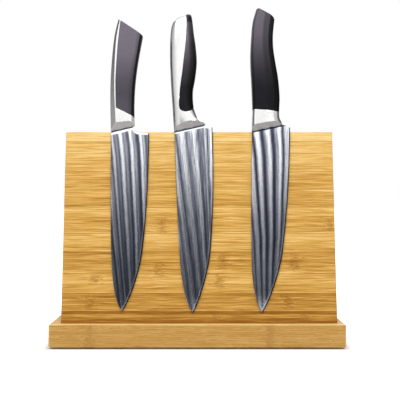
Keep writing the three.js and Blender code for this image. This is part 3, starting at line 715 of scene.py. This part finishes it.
def make_blade(knife, pose, seat, heel, fan, pitch, crest, closing, longer, **finish):
    """Shapes one blade from a grid. The heel lists points of its upper edge, clear of the bolster. The
    flutes fan out from a point, a pitch apart at the bolster, with a crest at one x. Closing says how
    they draw together towards the tip, longer how far it is drawn out, and finish is for the steel."""
    fan_x, fan_y = fan
    reach = -fan_y
    top = [(-1, 1 - seat), (heel[0][0] - 0.01, heel[0][0] * seat + 1), *heel]

    def taper(y):
        return 1 + TAPER * min(y, 0) / BLADE_LENGTH

    def half_at(x, y, from_spine, to_edge):
        phase = ((x - fan_x) / (y - fan_y) - (crest - fan_x) / reach) / (pitch / reach)
        near_tip = max(0, -y - TIP_TURN) / TIP_SPAN
        phase += near_tip * (closing[0] + closing[1] * phase)
        hollow = 0.5 - 0.5 * math.cos(phase * 2 * math.pi)
        flat = (CREST - FLUTE_DEPTH * hollow) * taper(y)
        bevel = EDGE_HALF + to_edge * (BEVEL_TOP - EDGE_HALF) / EDGE_BEVEL
        rounding = CREST * taper(y) * (SPINE_CORNER + 0.45 * min(1, from_spine / SPINE_ROUNDING) ** 0.5)
        return soft_min(soft_min(flat, bevel, BEVEL_BLEND), rounding, SPINE_BLEND), phase

    deselect_all()
    bpy.ops.mesh.primitive_grid_add(x_subdivisions=110, y_subdivisions=150, size=2)
    blade = start_piece(knife + "_fluted_blade")
    set_mode("OBJECT")
    # Maps for the material: the count of flutes and the height, in 100 mm; how far off the spine and
    # the edge are, in 10 mm; and how far off the bolster's seat and the blade's upper edge are.
    flutes, rims, seats = [], [], []
    for vertex in blade.data.vertices:
        across = (vertex.co.x + 1) / 2
        rise = 1 - math.cos((vertex.co.y + 1) / 2 * math.pi / 2)
        along_x = edge_x(SPINE, 0) + across * BLADE_WIDTH
        upper = along_points(top, along_x)
        y = -BLADE_LENGTH + rise * (upper + BLADE_LENGTH)
        x0, x1 = edge_x(SPINE, y), edge_x(BELLY, y)
        x = x0 + (x1 - x0) * across
        half, phase = half_at(x, y, x - x0, x1 - x)
        flutes.append((phase, y / 100))
        rims.append(((x - x0) / 10, (x1 - x) / 10))
        past = along_x - heel[0][0]
        # The bolster's painted shadow darkens the blade right below it, but not the heel beside it.
        clear = HEEL_CLEAR + HEEL_RISE * past / (BLADE_WIDTH - heel[0][0]) if past >= 0 else 0
        seats.append(((seat * x - y) / 10, (upper - y + clear) / 10))
        vertex.co = (x, y - longer * (max(0, -y - TIP_START) / TIP_SPAN) ** 2, half)
    blade.data.uv_layers[0].name = "flutes"
    for name, values in (("flutes", flutes), ("rims", rims), ("seat", seats)):
        layer = blade.data.uv_layers.get(name) or blade.data.uv_layers.new(name=name)
        for loop in blade.data.loops:
            layer.data[loop.index].uv = values[loop.vertex_index]

    # The other face is a mirror image, and the two rims are joined by a narrow wall.
    set_mode("EDIT")
    select_mesh("SELECT")
    bpy.ops.mesh.duplicate()
    bpy.ops.transform.resize(value=(1, 1, -1), center_override=(0, 0, 0))
    bpy.ops.mesh.flip_normals()
    select_mesh("SELECT")
    bpy.ops.mesh.region_to_loop()
    bpy.ops.mesh.bridge_edge_loops()
    face_outward()
    set_mode("OBJECT")
    bpy.ops.object.shade_smooth_by_angle(angle=math.radians(35))
    blade.data.transform(pose)
    material = blade_steel(knife + "_blade_steel", **finish)
    close_piece(blade, material, knife + "_knife", "blade_steel", knife + "_blade")


make_blade(
    "left", LEFT_POSE, LEFT_SEAT,
    heel=[(24.3, 4.4), (25.6, 1.4), (28.4, -0.8), (33.5, -1.8), (38, -2.5), (43.6, -2.6)],
    fan=(64, -734), pitch=10.7, crest=5, closing=(0.0, 0.14), longer=0,
    drift=0, curl=0.15, tip=(0.1, 1.0, 0.1), streaks=1.6, ricasso=0.5,
    bands=[
        (-2.0, 0.5), (-1.55, 0.42), (-1.4, 0.2), (-1.27, 0.26), (-1.08, 0.74), (-0.93, 0.42), (-0.72, 0.34),
        (-0.6, 0.16), (-0.5, 0.32), (-0.36, 0.77), (-0.14, 0.22), (0.03, 0.35), (0.28, 0.15), (0.5, 0.8),
        (0.62, 0.84), (0.84, 0.26), (1.02, 0.42), (1.28, 0.13), (1.42, 0.22), (1.55, 0.82), (1.68, 0.9),
        (1.85, 0.36), (2.02, 0.44), (2.25, 0.15), (2.42, 0.12), (2.5, 0.22), (2.62, 0.85), (2.72, 0.95),
        (2.88, 0.42), (3.0, 0.5), (3.15, 0.2), (3.6, 0.3),
    ],
)
make_blade(
    "middle", MIDDLE_POSE, MIDDLE_SEAT,
    heel=[(32.6, 6.5), (34.4, 5), (37, 3.4), (43.6, 3.1)],
    fan=(36, -430), pitch=11, crest=1.5, closing=(0.0, 0.0), longer=2,
    drift=0.28, curl=0, tip=(0.1, 1.15, 0.25), streaks=3.2, ricasso=0.38,
    bands=[
        (-2.1, 0.8), (-1.85, 0.65), (-1.62, 0.38), (-1.45, 0.3), (-1.32, 0.4), (-1.12, 0.95), (-0.98, 0.6),
        (-0.86, 0.25), (-0.7, 0.3), (-0.48, 0.85), (-0.26, 0.62), (0.04, 0.16), (0.25, 0.34), (0.42, 0.48),
        (0.58, 0.8), (0.85, 0.7), (1.0, 0.4), (1.15, 0.24), (1.35, 0.27), (1.55, 0.45), (1.75, 0.56),
        (1.92, 0.78), (2.05, 0.7), (2.2, 0.46), (2.38, 0.18), (2.5, 0.22), (2.7, 0.38), (2.82, 0.26),
        (3.0, 0.58), (3.22, 0.2), (3.48, 0.72), (3.8, 0.85),
    ],
)
make_blade(
    "right", RIGHT_POSE, RIGHT_SEAT,
    heel=[(32.6, 8), (35, 8.3), (38.8, 7.2), (43.6, 4.9)],
    fan=(31, -354), pitch=10.6, crest=0, closing=(0.42, 0.0), longer=1,
    drift=0, curl=0.2, tip=(0.3, 1.4, 0.65), streaks=1.6, ricasso=-0.2,
    bands=[
        (-1.9, 0.6), (-1.5, 0.45), (-1.25, 0.7), (-1.08, 0.5), (-0.96, 0.14), (-0.8, 0.26), (-0.58, 0.75),
        (-0.3, 0.92), (-0.15, 0.72), (-0.03, 0.35), (0.1, 0.08), (0.2, 0.08), (0.38, 0.42), (0.5, 0.8),
        (0.6, 0.98), (0.8, 0.75), (0.95, 0.3), (1.1, 0.1), (1.27, 0.1), (1.6, 0.5), (1.75, 0.82),
        (1.95, 0.8), (2.1, 0.34), (2.22, 0.1), (2.42, 0.1), (2.66, 0.42), (2.82, 0.4), (2.98, 0.95),
        (3.1, 0.98), (3.22, 0.45), (3.4, 0.08), (3.7, 0.6),
    ],
)


# ============ left knife's handle
# A slab of polished steel, forged in one with the bolster and ground to a bevel along the spine.
# Two flat black scales are let into its belly side and riveted through the tang with hidden pins.

handle_steel, tree, shader = new_material("handle_steel", {"Metallic": 1})
spot = own_place(tree)
buffed = noise(spot, (1500, 1500, 90), 3.0)
haze = noise(spot, 90.0)
bright = ramp(buffed, [(0.3, (0.7, 0.7, 0.69, 1)), (0.7, (0.8, 0.8, 0.79, 1))])
# The slanted facets that meet the blade look down it, and are left matt; their colour, greyer than the
# rest, is painted shade.
facing = shader_node(tree, "TexCoord", output="Normal")
down = {0: facing, 1: (0, -math.sin(lean), -math.cos(lean))}
down = shader_node(tree, "VectorMath", down, output="Value", operation="DOT_PRODUCT")
matt_shaded_facets = ramp(down, [(0.45, 0.0), (0.6, 1.0)])
bright = blend_colour(matt_shaded_facets, bright, (0.36, 0.35, 0.345, 1))
haze = linear(haze, 0.14, 0.12)
haze = linear(matt_shaded_facets, 0.35, haze)
lines = ramp(noise(spot, (420, 420, 12)), [(0.45, 1.0), (0.58, 0.86), (0.62, 0.98)])
bright = scaled(bright, lines)
wear(shader, bright, haze, buffed, 0.04, 0.0001)

HANDLE_FOOT = 0.26
HANDLE_TOP = 0.37


def black_with_painted_light(name, shades, turned_shade):
    """Black handle material with painted light: shades from the foot to the butt, a painted sheen that
    brightens upward, and how much of them is left as painted shade where the surface turns to the spine
    (-1) or to the belly (1)."""
    material, tree, shader = new_material(name, {"Specular IOR Level": 0.12})
    spot = own_place(tree)
    pressed = noise(spot, (500, 500, 60), 4.0)
    mist = noise(spot, 60.0, 3.0)
    # Painted sheen: the black is lighter towards the butt.
    height = split(spot)["Z"]
    share = sum_up("DIVIDE", minus(height, HANDLE_FOOT), HANDLE_TOP - HANDLE_FOOT)
    share = sway(mist, 0.12, share)
    # The black leans a little to violet.
    stops = [(at, (grey * 1.05 - 0.001, grey * 0.92, grey * 1.13 + 0.003, 1)) for at, grey in shades]
    black = ramp(share, stops)
    # Painted shade where the surface turns away to the spine or to the belly.
    turned = split(shader_node(tree, "TexCoord", output="Normal"))["X"]
    turned = linear(turned, 0.5, 0.5)
    left = ramp(turned, [((side + 1) / 2, rest) for side, rest in turned_shade])
    black = scaled(black, times(sway(pressed, 0.5, 1), left))
    wear(shader, black, linear(mist, 0.14, 0.26), pressed, 0.06, 0.0002)
    return material


grip_black = black_with_painted_light(
    "grip_black",
    [(0.05, 0.006), (0.25, 0.008), (0.4, 0.022), (0.55, 0.048), (0.7, 0.082), (0.85, 0.122), (1.0, 0.132)],
    [(-0.95, 0.7), (-0.6, 0.6), (-0.45, 0.25), (-0.25, 0.3), (-0.06, 1.0), (0.05, 1.0), (0.14, 0.52),
     (0.3, 0.52), (0.45, 0.16), (0.85, 0.06)],
)
# The inlay's dark top is painted shade on its end.
inlay_black = black_with_painted_light(
    "inlay_black",
    [(0.05, 0.006), (0.25, 0.01), (0.4, 0.034), (0.55, 0.068), (0.7, 0.155), (0.85, 0.35), (0.94, 0.4),
     (0.98, 0.07)],
    [(0.08, 1.0), (0.24, 0.75), (0.35, 0.3), (0.56, 0.12)],
)
scale_black = black_with_painted_light(
    "scale_black",
    [(0.0, 0.092), (0.18, 0.072), (0.32, 0.086), (0.45, 0.115), (0.6, 0.158), (0.8, 0.17)],
    [(0.12, 1.0), (0.28, 0.6), (0.45, 0.3), (0.7, 0.08)],
)

drawn = [(0.3, (0.4, 0.4, 0.4)), (0.7, (0.6, 0.6, 0.6))]
finish_nodes("_pin_", mottled("pin_steel", 800.0, 3.0, drawn, (0.2, 0.3), 0.1, 1))

# Half the bolster's thickness where it meets the blade, and half the seam between steel and black.
LIP = 1.15
SEAM = 0.1


def smooth_line(points, share):
    """A point on the smooth curve through points, at a share of its length from 0 to 1."""
    place = share * (len(points) - 1)
    index = min(int(place), len(points) - 2)
    t = place - index
    a, b, c, d = (points[max(0, min(len(points) - 1, index + k))] for k in (-1, 0, 1, 2))
    return [
        0.5 * (2 * q + (r - p) * t + (2 * p - 5 * q + 4 * r - s) * t * t + (3 * q - p - 3 * r + s) * t**3)
        for p, q, r, s in zip(a, b, c, d)
    ]


def mix(a, b, share):
    return a + (b - a) * share


def draw_out(name, rings):
    """Extrudes one end of a filled ring through all the others, like clay drawn up a handle."""
    deselect_all()
    bpy.ops.mesh.primitive_circle_add(vertices=len(rings[0]), fill_type="NGON")
    piece = start_piece(name)
    select_mesh("SELECT")
    for number, ring in enumerate(rings):
        if number:
            bpy.ops.mesh.extrude_region_move()
        mesh = bmesh.from_edit_mesh(piece.data)
        end = next(face for face in mesh.faces if face.select)
        for vertex, point in zip(end.verts, ring):
            vertex.co = point
        bmesh.update_edit_mesh(piece.data)
    face_outward()
    return piece


def section(spine, belly, corners):
    """A section between two points of a side view; each corner is (share across, height)."""
    return [(mix(spine[0], belly[0], k), mix(spine[1], belly[1], k), z) for k, z in corners]


def cut_off(point, normal):
    """Cuts away what lies beyond a plane, and closes the cut."""
    select_mesh("SELECT")
    bpy.ops.mesh.bisect(plane_co=point, plane_no=normal, use_fill=True, clear_outer=True)


def cut_bolster(seat, rise):
    """Two slanted facets that meet the blade's faces along the seat."""
    angle = math.atan(seat)
    for side in (1, -1):
        cut_off((0, 0, side * LIP), (math.sin(angle), -math.cos(angle), side * rise))


def only(piece, mode="OBJECT"):
    """Makes this the one selected piece, in this mode."""
    deselect_all()
    bpy.context.view_layer.objects.active = piece
    piece.select_set(True)
    set_mode(mode)


def add_object(name, data):
    made = bpy.data.objects.new(name, data)
    bpy.context.scene.collection.objects.link(made)
    return made


def copy_piece(piece, name):
    data = piece.data.copy()
    data.name = name
    return add_object(name, data)


def outline_block(points):
    """A block with a drawn outline, thicker than any handle."""
    drawn = bpy.data.curves.new("outline", "CURVE")
    drawn.dimensions = "2D"
    drawn.fill_mode = "BOTH"
    drawn.extrude = 20
    spline = drawn.splines.new("POLY")
    spline.points.add(len(points) - 1)
    for point, (x, y) in zip(spline.points, points):
        point.co = (x, y, 0, 1)
    spline.use_cyclic_u = True
    only(add_object("outline", drawn))
    bpy.ops.object.convert(target="MESH")
    block = bpy.context.object
    set_mode("EDIT")
    select_mesh("SELECT")
    bpy.ops.mesh.remove_doubles(threshold=0.0001)
    face_outward()
    set_mode("OBJECT")
    return block


def apply_modifier(piece, kind, **settings):
    modifier = piece.modifiers.new(kind.lower(), kind)
    for name, value in settings.items():
        setattr(modifier, name, value)
    bpy.ops.object.modifier_apply(modifier=modifier.name)


def let_in(steel, name, outline):
    """Parts a black piece from the steel along an outline, with a seam between them."""
    set_mode("OBJECT")
    black = copy_piece(steel, name)
    for piece, operation, gap in ((steel, "DIFFERENCE", -SEAM), (black, "INTERSECT", SEAM)):
        block = outline_block(outline(gap))
        only(piece)
        apply_modifier(piece, "BOOLEAN", object=block, operation=operation, solver="EXACT")
        bpy.data.objects.remove(block)
    return black


def ease_edges(piece, width):
    """Rounds the piece's sharp edges and smooths the rest, while flat faces stay flat."""
    only(piece)
    sharp = math.radians(30)
    apply_modifier(piece, "BEVEL", width=width, segments=3, limit_method="ANGLE", angle_limit=sharp)
    bpy.ops.object.shade_smooth_by_angle(angle=sharp)
    apply_modifier(piece, "WEIGHTED_NORMAL", keep_sharp=True)


def finish_handle(piece, width, pose, *what):
    ease_edges(piece, width)
    piece.data.transform(pose)
    close_piece(piece, *what)


LEFT_SPINE = [(1.2, -20), (-0.3, 0), (-1.5, 40), (-0.8, 73), (2.3, 109.8), (6.8, 130.6)]
LEFT_BELLY = [(27, -20), (26.5, 4), (25.7, 28), (26.7, 55), (29.6, 81), (34.7, 112)]
LEFT_RINGS = 40
# The bevel along the spine narrows from foot to butt.
LEFT_BEVEL = (6.4, 2.4)
BEVEL_SLOPE = 1.18
LEFT_SPINE_HALF = 9.2
# The turn to the belly: how far in from it, and the half thickness there.
LEFT_BELLY_TURN = [(8, 7.8), (3.2, 6.45), (0, 3)]
SCALE_SIDE = [(5.7, 25.1), (5.1, 42.5), (4.9, 62), (6.7, 98.5), (9.8, 130), (12, 146)]
SCALE_SLANT = 0.475
SCALES_APART = 0.07
# Well outside any handle, where a cutting outline closes.
OUTSIDE = 60


def both_faces(front):
    """The corners of a whole section, from those of its front."""
    return front + [(k, -z) for k, z in reversed(front)]


rings = []
for step in range(LEFT_RINGS + 1):
    share = step / LEFT_RINGS
    spine, belly = smooth_line(LEFT_SPINE, share), smooth_line(LEFT_BELLY, share)
    width = math.dist(spine, belly)
    bevel = mix(*LEFT_BEVEL, share**2.2)
    front = [(0, LEFT_SPINE_HALF - BEVEL_SLOPE * bevel), (bevel / width, LEFT_SPINE_HALF)]
    front += [(1 - inward / width, half) for inward, half in LEFT_BELLY_TURN]
    rings.append(section(spine, belly, both_faces(front)))


def scale_outline(gap):
    side = [(x + gap, y) for x, y in (smooth_line(SCALE_SIDE, k / 30) for k in range(31))]
    foot = (side[0][0], side[0][1] + gap)
    slant = (OUTSIDE, foot[1] - SCALE_SLANT * (OUTSIDE - foot[0]))
    return [foot, slant, (OUTSIDE, SCALE_SIDE[-1][1]), *reversed(side[1:])]


spine_frame = draw_out("left_forged_frame", rings)
cut_bolster(LEFT_SEAT, 0.8)
scale_front = let_in(spine_frame, "left_scale_front_slab", scale_outline)
scale_back = copy_piece(scale_front, "left_scale_back_slab")
for piece, side in ((scale_front, 1), (scale_back, -1)):
    only(piece, "EDIT")
    cut_off((0, 0, side * SCALES_APART), (0, 0, -side))
steel = handle_steel, "left_knife", "handle_steel"
black = scale_black, "left_knife", "grip_black"
finish_handle(spine_frame, 0.3, LEFT_POSE, *steel, "left_spine_frame")
finish_handle(scale_front, 0.35, LEFT_POSE, *black, "left_scale_front")
finish_handle(scale_back, 0.35, LEFT_POSE, *black, "left_scale_back")


# ============ middle knife's handle
# An oval handle of polished steel that flares into its bolster, with a black inlay pressed into the
# belly side and held by two hidden pins.

# Points of the side view, and the half thickness there.
MIDDLE_SPINE = [
    (-0.2, -20, 9), (-0.8, 0, 9.5), (-1.4, 13, 9.5), (-1.8, 26, 9.3), (-2.6, 44, 9.2), (-3.1, 60, 9.6),
    (-3.4, 80, 10), (-3.1, 98, 10), (-2.2, 113.5, 9.5), (-0.3, 125, 8.6), (3.3, 131.6, 7),
    (9.2, 136, 4.6), (15, 138, 2),
]
MIDDLE_BELLY = [
    (42, -14), (34.8, 6.6), (27.8, 13.8), (22.5, 26.6), (21.9, 44.5), (24.9, 60.6), (27.4, 80),
    (26.7, 99), (25.2, 113.3), (24.1, 127), (23.4, 133.5), (22.6, 137), (21, 138.6),
]
INLAY_FOOT = [(23, 31), (20.6, 23.2), (14, 20.2), (7.8, 22), (5.7, 27)]
INLAY_SIDE = [
    (6.2, 36), (8, 52), (10.6, 67.8), (12.7, 83.4), (14.7, 97.3), (15.9, 112.3), (16.5, 127), (16.6, 148),
]
INLAY_CORNER = (26, 36)
HANDLE_RINGS = 60
# The section is an oval; a power above 2 makes it squarer.
OVAL_CORNERS = 48
OVAL_POWER = 2.2


def oval_share(value):
    return math.copysign(abs(value) ** (2 / OVAL_POWER), value)


def oval(half):
    turns = [2 * math.pi * k / OVAL_CORNERS for k in range(OVAL_CORNERS)]
    return [(0.5 + 0.5 * oval_share(math.cos(t)), half * oval_share(math.sin(t))) for t in turns]


def rings_along(spine_points, belly_points, corners):
    """Sections all along a side view, with the corners that fit the half thickness there."""
    rings = []
    for step in range(HANDLE_RINGS + 1):
        spine = smooth_line(spine_points, step / HANDLE_RINGS)
        belly = smooth_line(belly_points, step / HANDLE_RINGS)
        rings.append(section(spine, belly, corners(spine[2])))
    return rings


def inlay_outline(gap):
    points = [(x, y + gap) for x, y in INLAY_FOOT] + [(x + gap, y) for x, y in INLAY_SIDE]
    side = [smooth_line(points, k / 44) for k in range(45)]
    x, y = INLAY_CORNER
    return [(OUTSIDE, y), (OUTSIDE, INLAY_SIDE[-1][1]), *reversed(side), (x, y + gap)]


steel_handle = draw_out("middle_oval_handle", rings_along(MIDDLE_SPINE, MIDDLE_BELLY, oval))
cut_bolster(MIDDLE_SEAT, 0.7)
inlay = let_in(steel_handle, "middle_black_inlay", inlay_outline)
steel = handle_steel, "middle_knife", "handle_steel"
finish_handle(steel_handle, 0.2, MIDDLE_POSE, *steel, "middle_handle")
finish_handle(inlay, 0.2, MIDDLE_POSE, inlay_black, "middle_knife", "grip_black", "middle_inlay")


# ============ right knife's handle
# A moulded black grip with a flat front and back, on a separate collar of polished steel.
# One hidden pin holds the grip to the tang.

RIGHT_SPINE = [
    (-0.4, -20, 9), (-0.7, 0, 9.3), (-0.6, 13.8, 9.3), (-0.4, 26.7, 9.3), (-1.1, 42, 9.4),
    (-2.3, 60.9, 9.8), (-3.6, 80, 10), (-3.8, 97, 10), (-3.2, 113, 9.8), (-2.2, 128, 9.6), (1.7, 143.8, 9),
]
RIGHT_BELLY = [
    (42, -12), (33.6, 8.6), (30.1, 16.5), (29.9, 27), (30.1, 41), (28.1, 61.9),
    (24.8, 80.5), (22.2, 96.5), (21.4, 110), (21.9, 121.5), (22.9, 132.4),
]
# Half of the grip's section, as shares across and of the half thickness: a narrow bevel at the spine,
# a flat front, a second plane that falls away from it, and a steep turn to the belly.
GRIP_HALF = [
    (0, 0.5), (0.03, 0.74), (0.075, 0.965), (0.115, 1), (0.3, 1), (0.43, 1), (0.5, 0.993), (0.57, 0.968),
    (0.76, 0.895), (0.79, 0.86), (0.9, 0.65), (0.95, 0.5), (1, 0.3),
]
COLLAR_AT = (14, 23)
COLLAR_TILT = 0.04


def grip_section(half):
    return both_faces([(k, half * z) for k, z in GRIP_HALF])


rings = rings_along(RIGHT_SPINE, RIGHT_BELLY, grip_section)
# The butt is drawn in at its very end.
rings.append(section((2.7, 144.8), (22.2, 135.2), grip_section(8.4)))
grip = draw_out("right_moulded_grip", rings)
set_mode("OBJECT")
collar = copy_piece(grip, "right_collar")
for piece, side in ((grip, 1), (collar, -1)):
    only(piece, "EDIT")
    cut_off((COLLAR_AT[0], COLLAR_AT[1] + side * SEAM, 0), (-side * COLLAR_TILT, -side, 0))
# The collar, still open in edit mode, is cut to meet the blade.
cut_bolster(RIGHT_SEAT, 0.62)
steel = handle_steel, "right_knife", "handle_steel"
finish_handle(collar, 0.25, RIGHT_POSE, *steel, "right_bolster")
finish_handle(grip, 0.25, RIGHT_POSE, grip_black, "right_knife", "grip_black", "right_grip")


# ============ studio
# A white floor in a white surround, a broad soft lamp above the front and a lesser one behind. Cards
# before and beside the block are what polished steel mirrors as its lighter and darker tones.

AMBIENT = 0.42


def seen_rays(tree):
    """1 for what the camera sees, directly or by reflection, and 0 for what only lights a surface."""
    rays = tree.nodes.new("ShaderNodeLightPath").outputs
    mirrored = sum_up("MAXIMUM", rays["Is Glossy Ray"], rays["Is Transmission Ray"])
    return sum_up("MAXIMUM", rays["Is Camera Ray"], mirrored)


deselect_all()
bpy.ops.mesh.primitive_plane_add(size=30)
floor = bpy.context.object
floor.name = "floor"
white = (1, 1, 1, 1)
white_floor, tree, shader = new_material("white_floor", {"Roughness": 0.7, "Emission Color": white})
spot = own_place(tree)
dust = ramp(noise(spot, 3.0), [(0.3, 0.8), (0.7, 0.83)])
# The floor turns wholly white a short way off, and keeps its shadow near the block.
sides = split(spot)
beside = minus(sum_up("ABSOLUTE", sides["X"]), cad_high.x)
before = minus(sum_up("ABSOLUTE", sides["Y"]), cad_high.y)
glow = ramp(sum_up("MAXIMUM", beside, before), [(0.0, 0.0), (0.02, 0.7), (0.06, 1.0)])
feed(shader, {"Base Color": dust, "Emission Strength": times(seen_rays(tree), glow)})
floor.data.materials.append(white_floor)
floor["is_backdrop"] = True

world = bpy.data.worlds.new("studio")
bpy.context.scene.world = world
world.use_nodes = True
tree = world.node_tree
light = linear(seen_rays(tree), 1 - AMBIENT, AMBIENT)
feed(tree.nodes["Background"], {"Color": white, "Strength": light})

LAMPS_AIM = Vector((0, 0, 0.19))


def add_card(name, place, width, height, turn, axis, greys):
    """A glowing stage card, unseen by the camera. Its greys run along one of its own axes."""
    deselect_all()
    bpy.ops.mesh.primitive_plane_add(size=1)
    card = bpy.context.object
    card.name = name
    card.scale = (width, height, 1)
    card.location = place
    card.rotation_euler = (math.pi / 2, 0, turn)
    card.visible_camera = card.visible_diffuse = card.visible_shadow = False
    material, tree, shader = new_material(name)
    tree.nodes.remove(shader)
    share = plus(split(own_place(tree))[axis], 0.5)
    glow = shader_node(tree, "Emission", {"Color": ramp(share, greys)})
    feed(tree.nodes["Material Output"], {"Surface": glow})
    card.data.materials.append(material)
    card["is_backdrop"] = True


def add_softbox(name, place, width, height, radiance):
    lamp = bpy.data.lights.new(name, "AREA")
    lamp.shape = "RECTANGLE"
    lamp.size, lamp.size_y = width, height
    lamp.energy = radiance * width * height * math.pi
    holder = add_object(name, lamp)
    holder.location = place
    holder.rotation_euler = (Vector(place) - LAMPS_AIM).to_track_quat("Z", "Y").to_euler()


add_softbox("bank", (-0.2, -0.95, 1.9), 2.6, 1.1, 3.8)
add_softbox("rear_bank", (0.5, 1.6, 1.7), 2.0, 1.0, 2.0)
front = [
    (0.33, (0.065, 0.068, 0.082, 1)), (0.41, (0.085, 0.09, 0.107, 1)), (0.457, (0.12, 0.126, 0.148, 1)),
    (0.519, (0.22, 0.226, 0.255, 1)), (0.583, (0.46, 0.47, 0.5, 1)), (0.641, 0.88), (0.71, 1.4), (1.0, 1.5),
]
add_card("front_card", (0, -2.6, 1.05), 5, 2.1, math.pi, "Y", front)
# The side cards run from front to back, bright to dark, and edge the polished steel in grey.
left = [(0.0, 1.2), (0.27, 0.95), (0.43, 0.66), (0.55, 0.5), (0.6, 0.43), (0.72, 0.17), (1.0, 0.1)]
add_card("left_card", (-2, 0, 1.25), 5.2, 2.5, math.pi / 2, "X", left)
right = [(0.0, 1.2), (0.3, 0.95), (0.42, 0.7), (0.5, 0.3), (0.58, 0.1), (1.0, 0.08)]
add_card("right_card", (2, 0, 1.25), 5.2, 2.5, math.pi / 2, "X", right)


# ============ camera
# Level, straight in front of the block, a little above the middle of the blades. The lens is a long
# one, shifted slightly to frame the block.

lens = bpy.data.cameras.new("camera")
lens.sensor_width = 36
lens.lens = 83.9
lens.shift_x = 0.00675
lens.shift_y = -0.005
camera = add_object("camera", lens)
camera.location = (0, -1.07, 0.1623)
camera.rotation_euler = (math.pi / 2, 0, 0)
bpy.context.scene.camera = camera
bpy.context.scene.view_settings.view_transform = "Standard"

low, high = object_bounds()
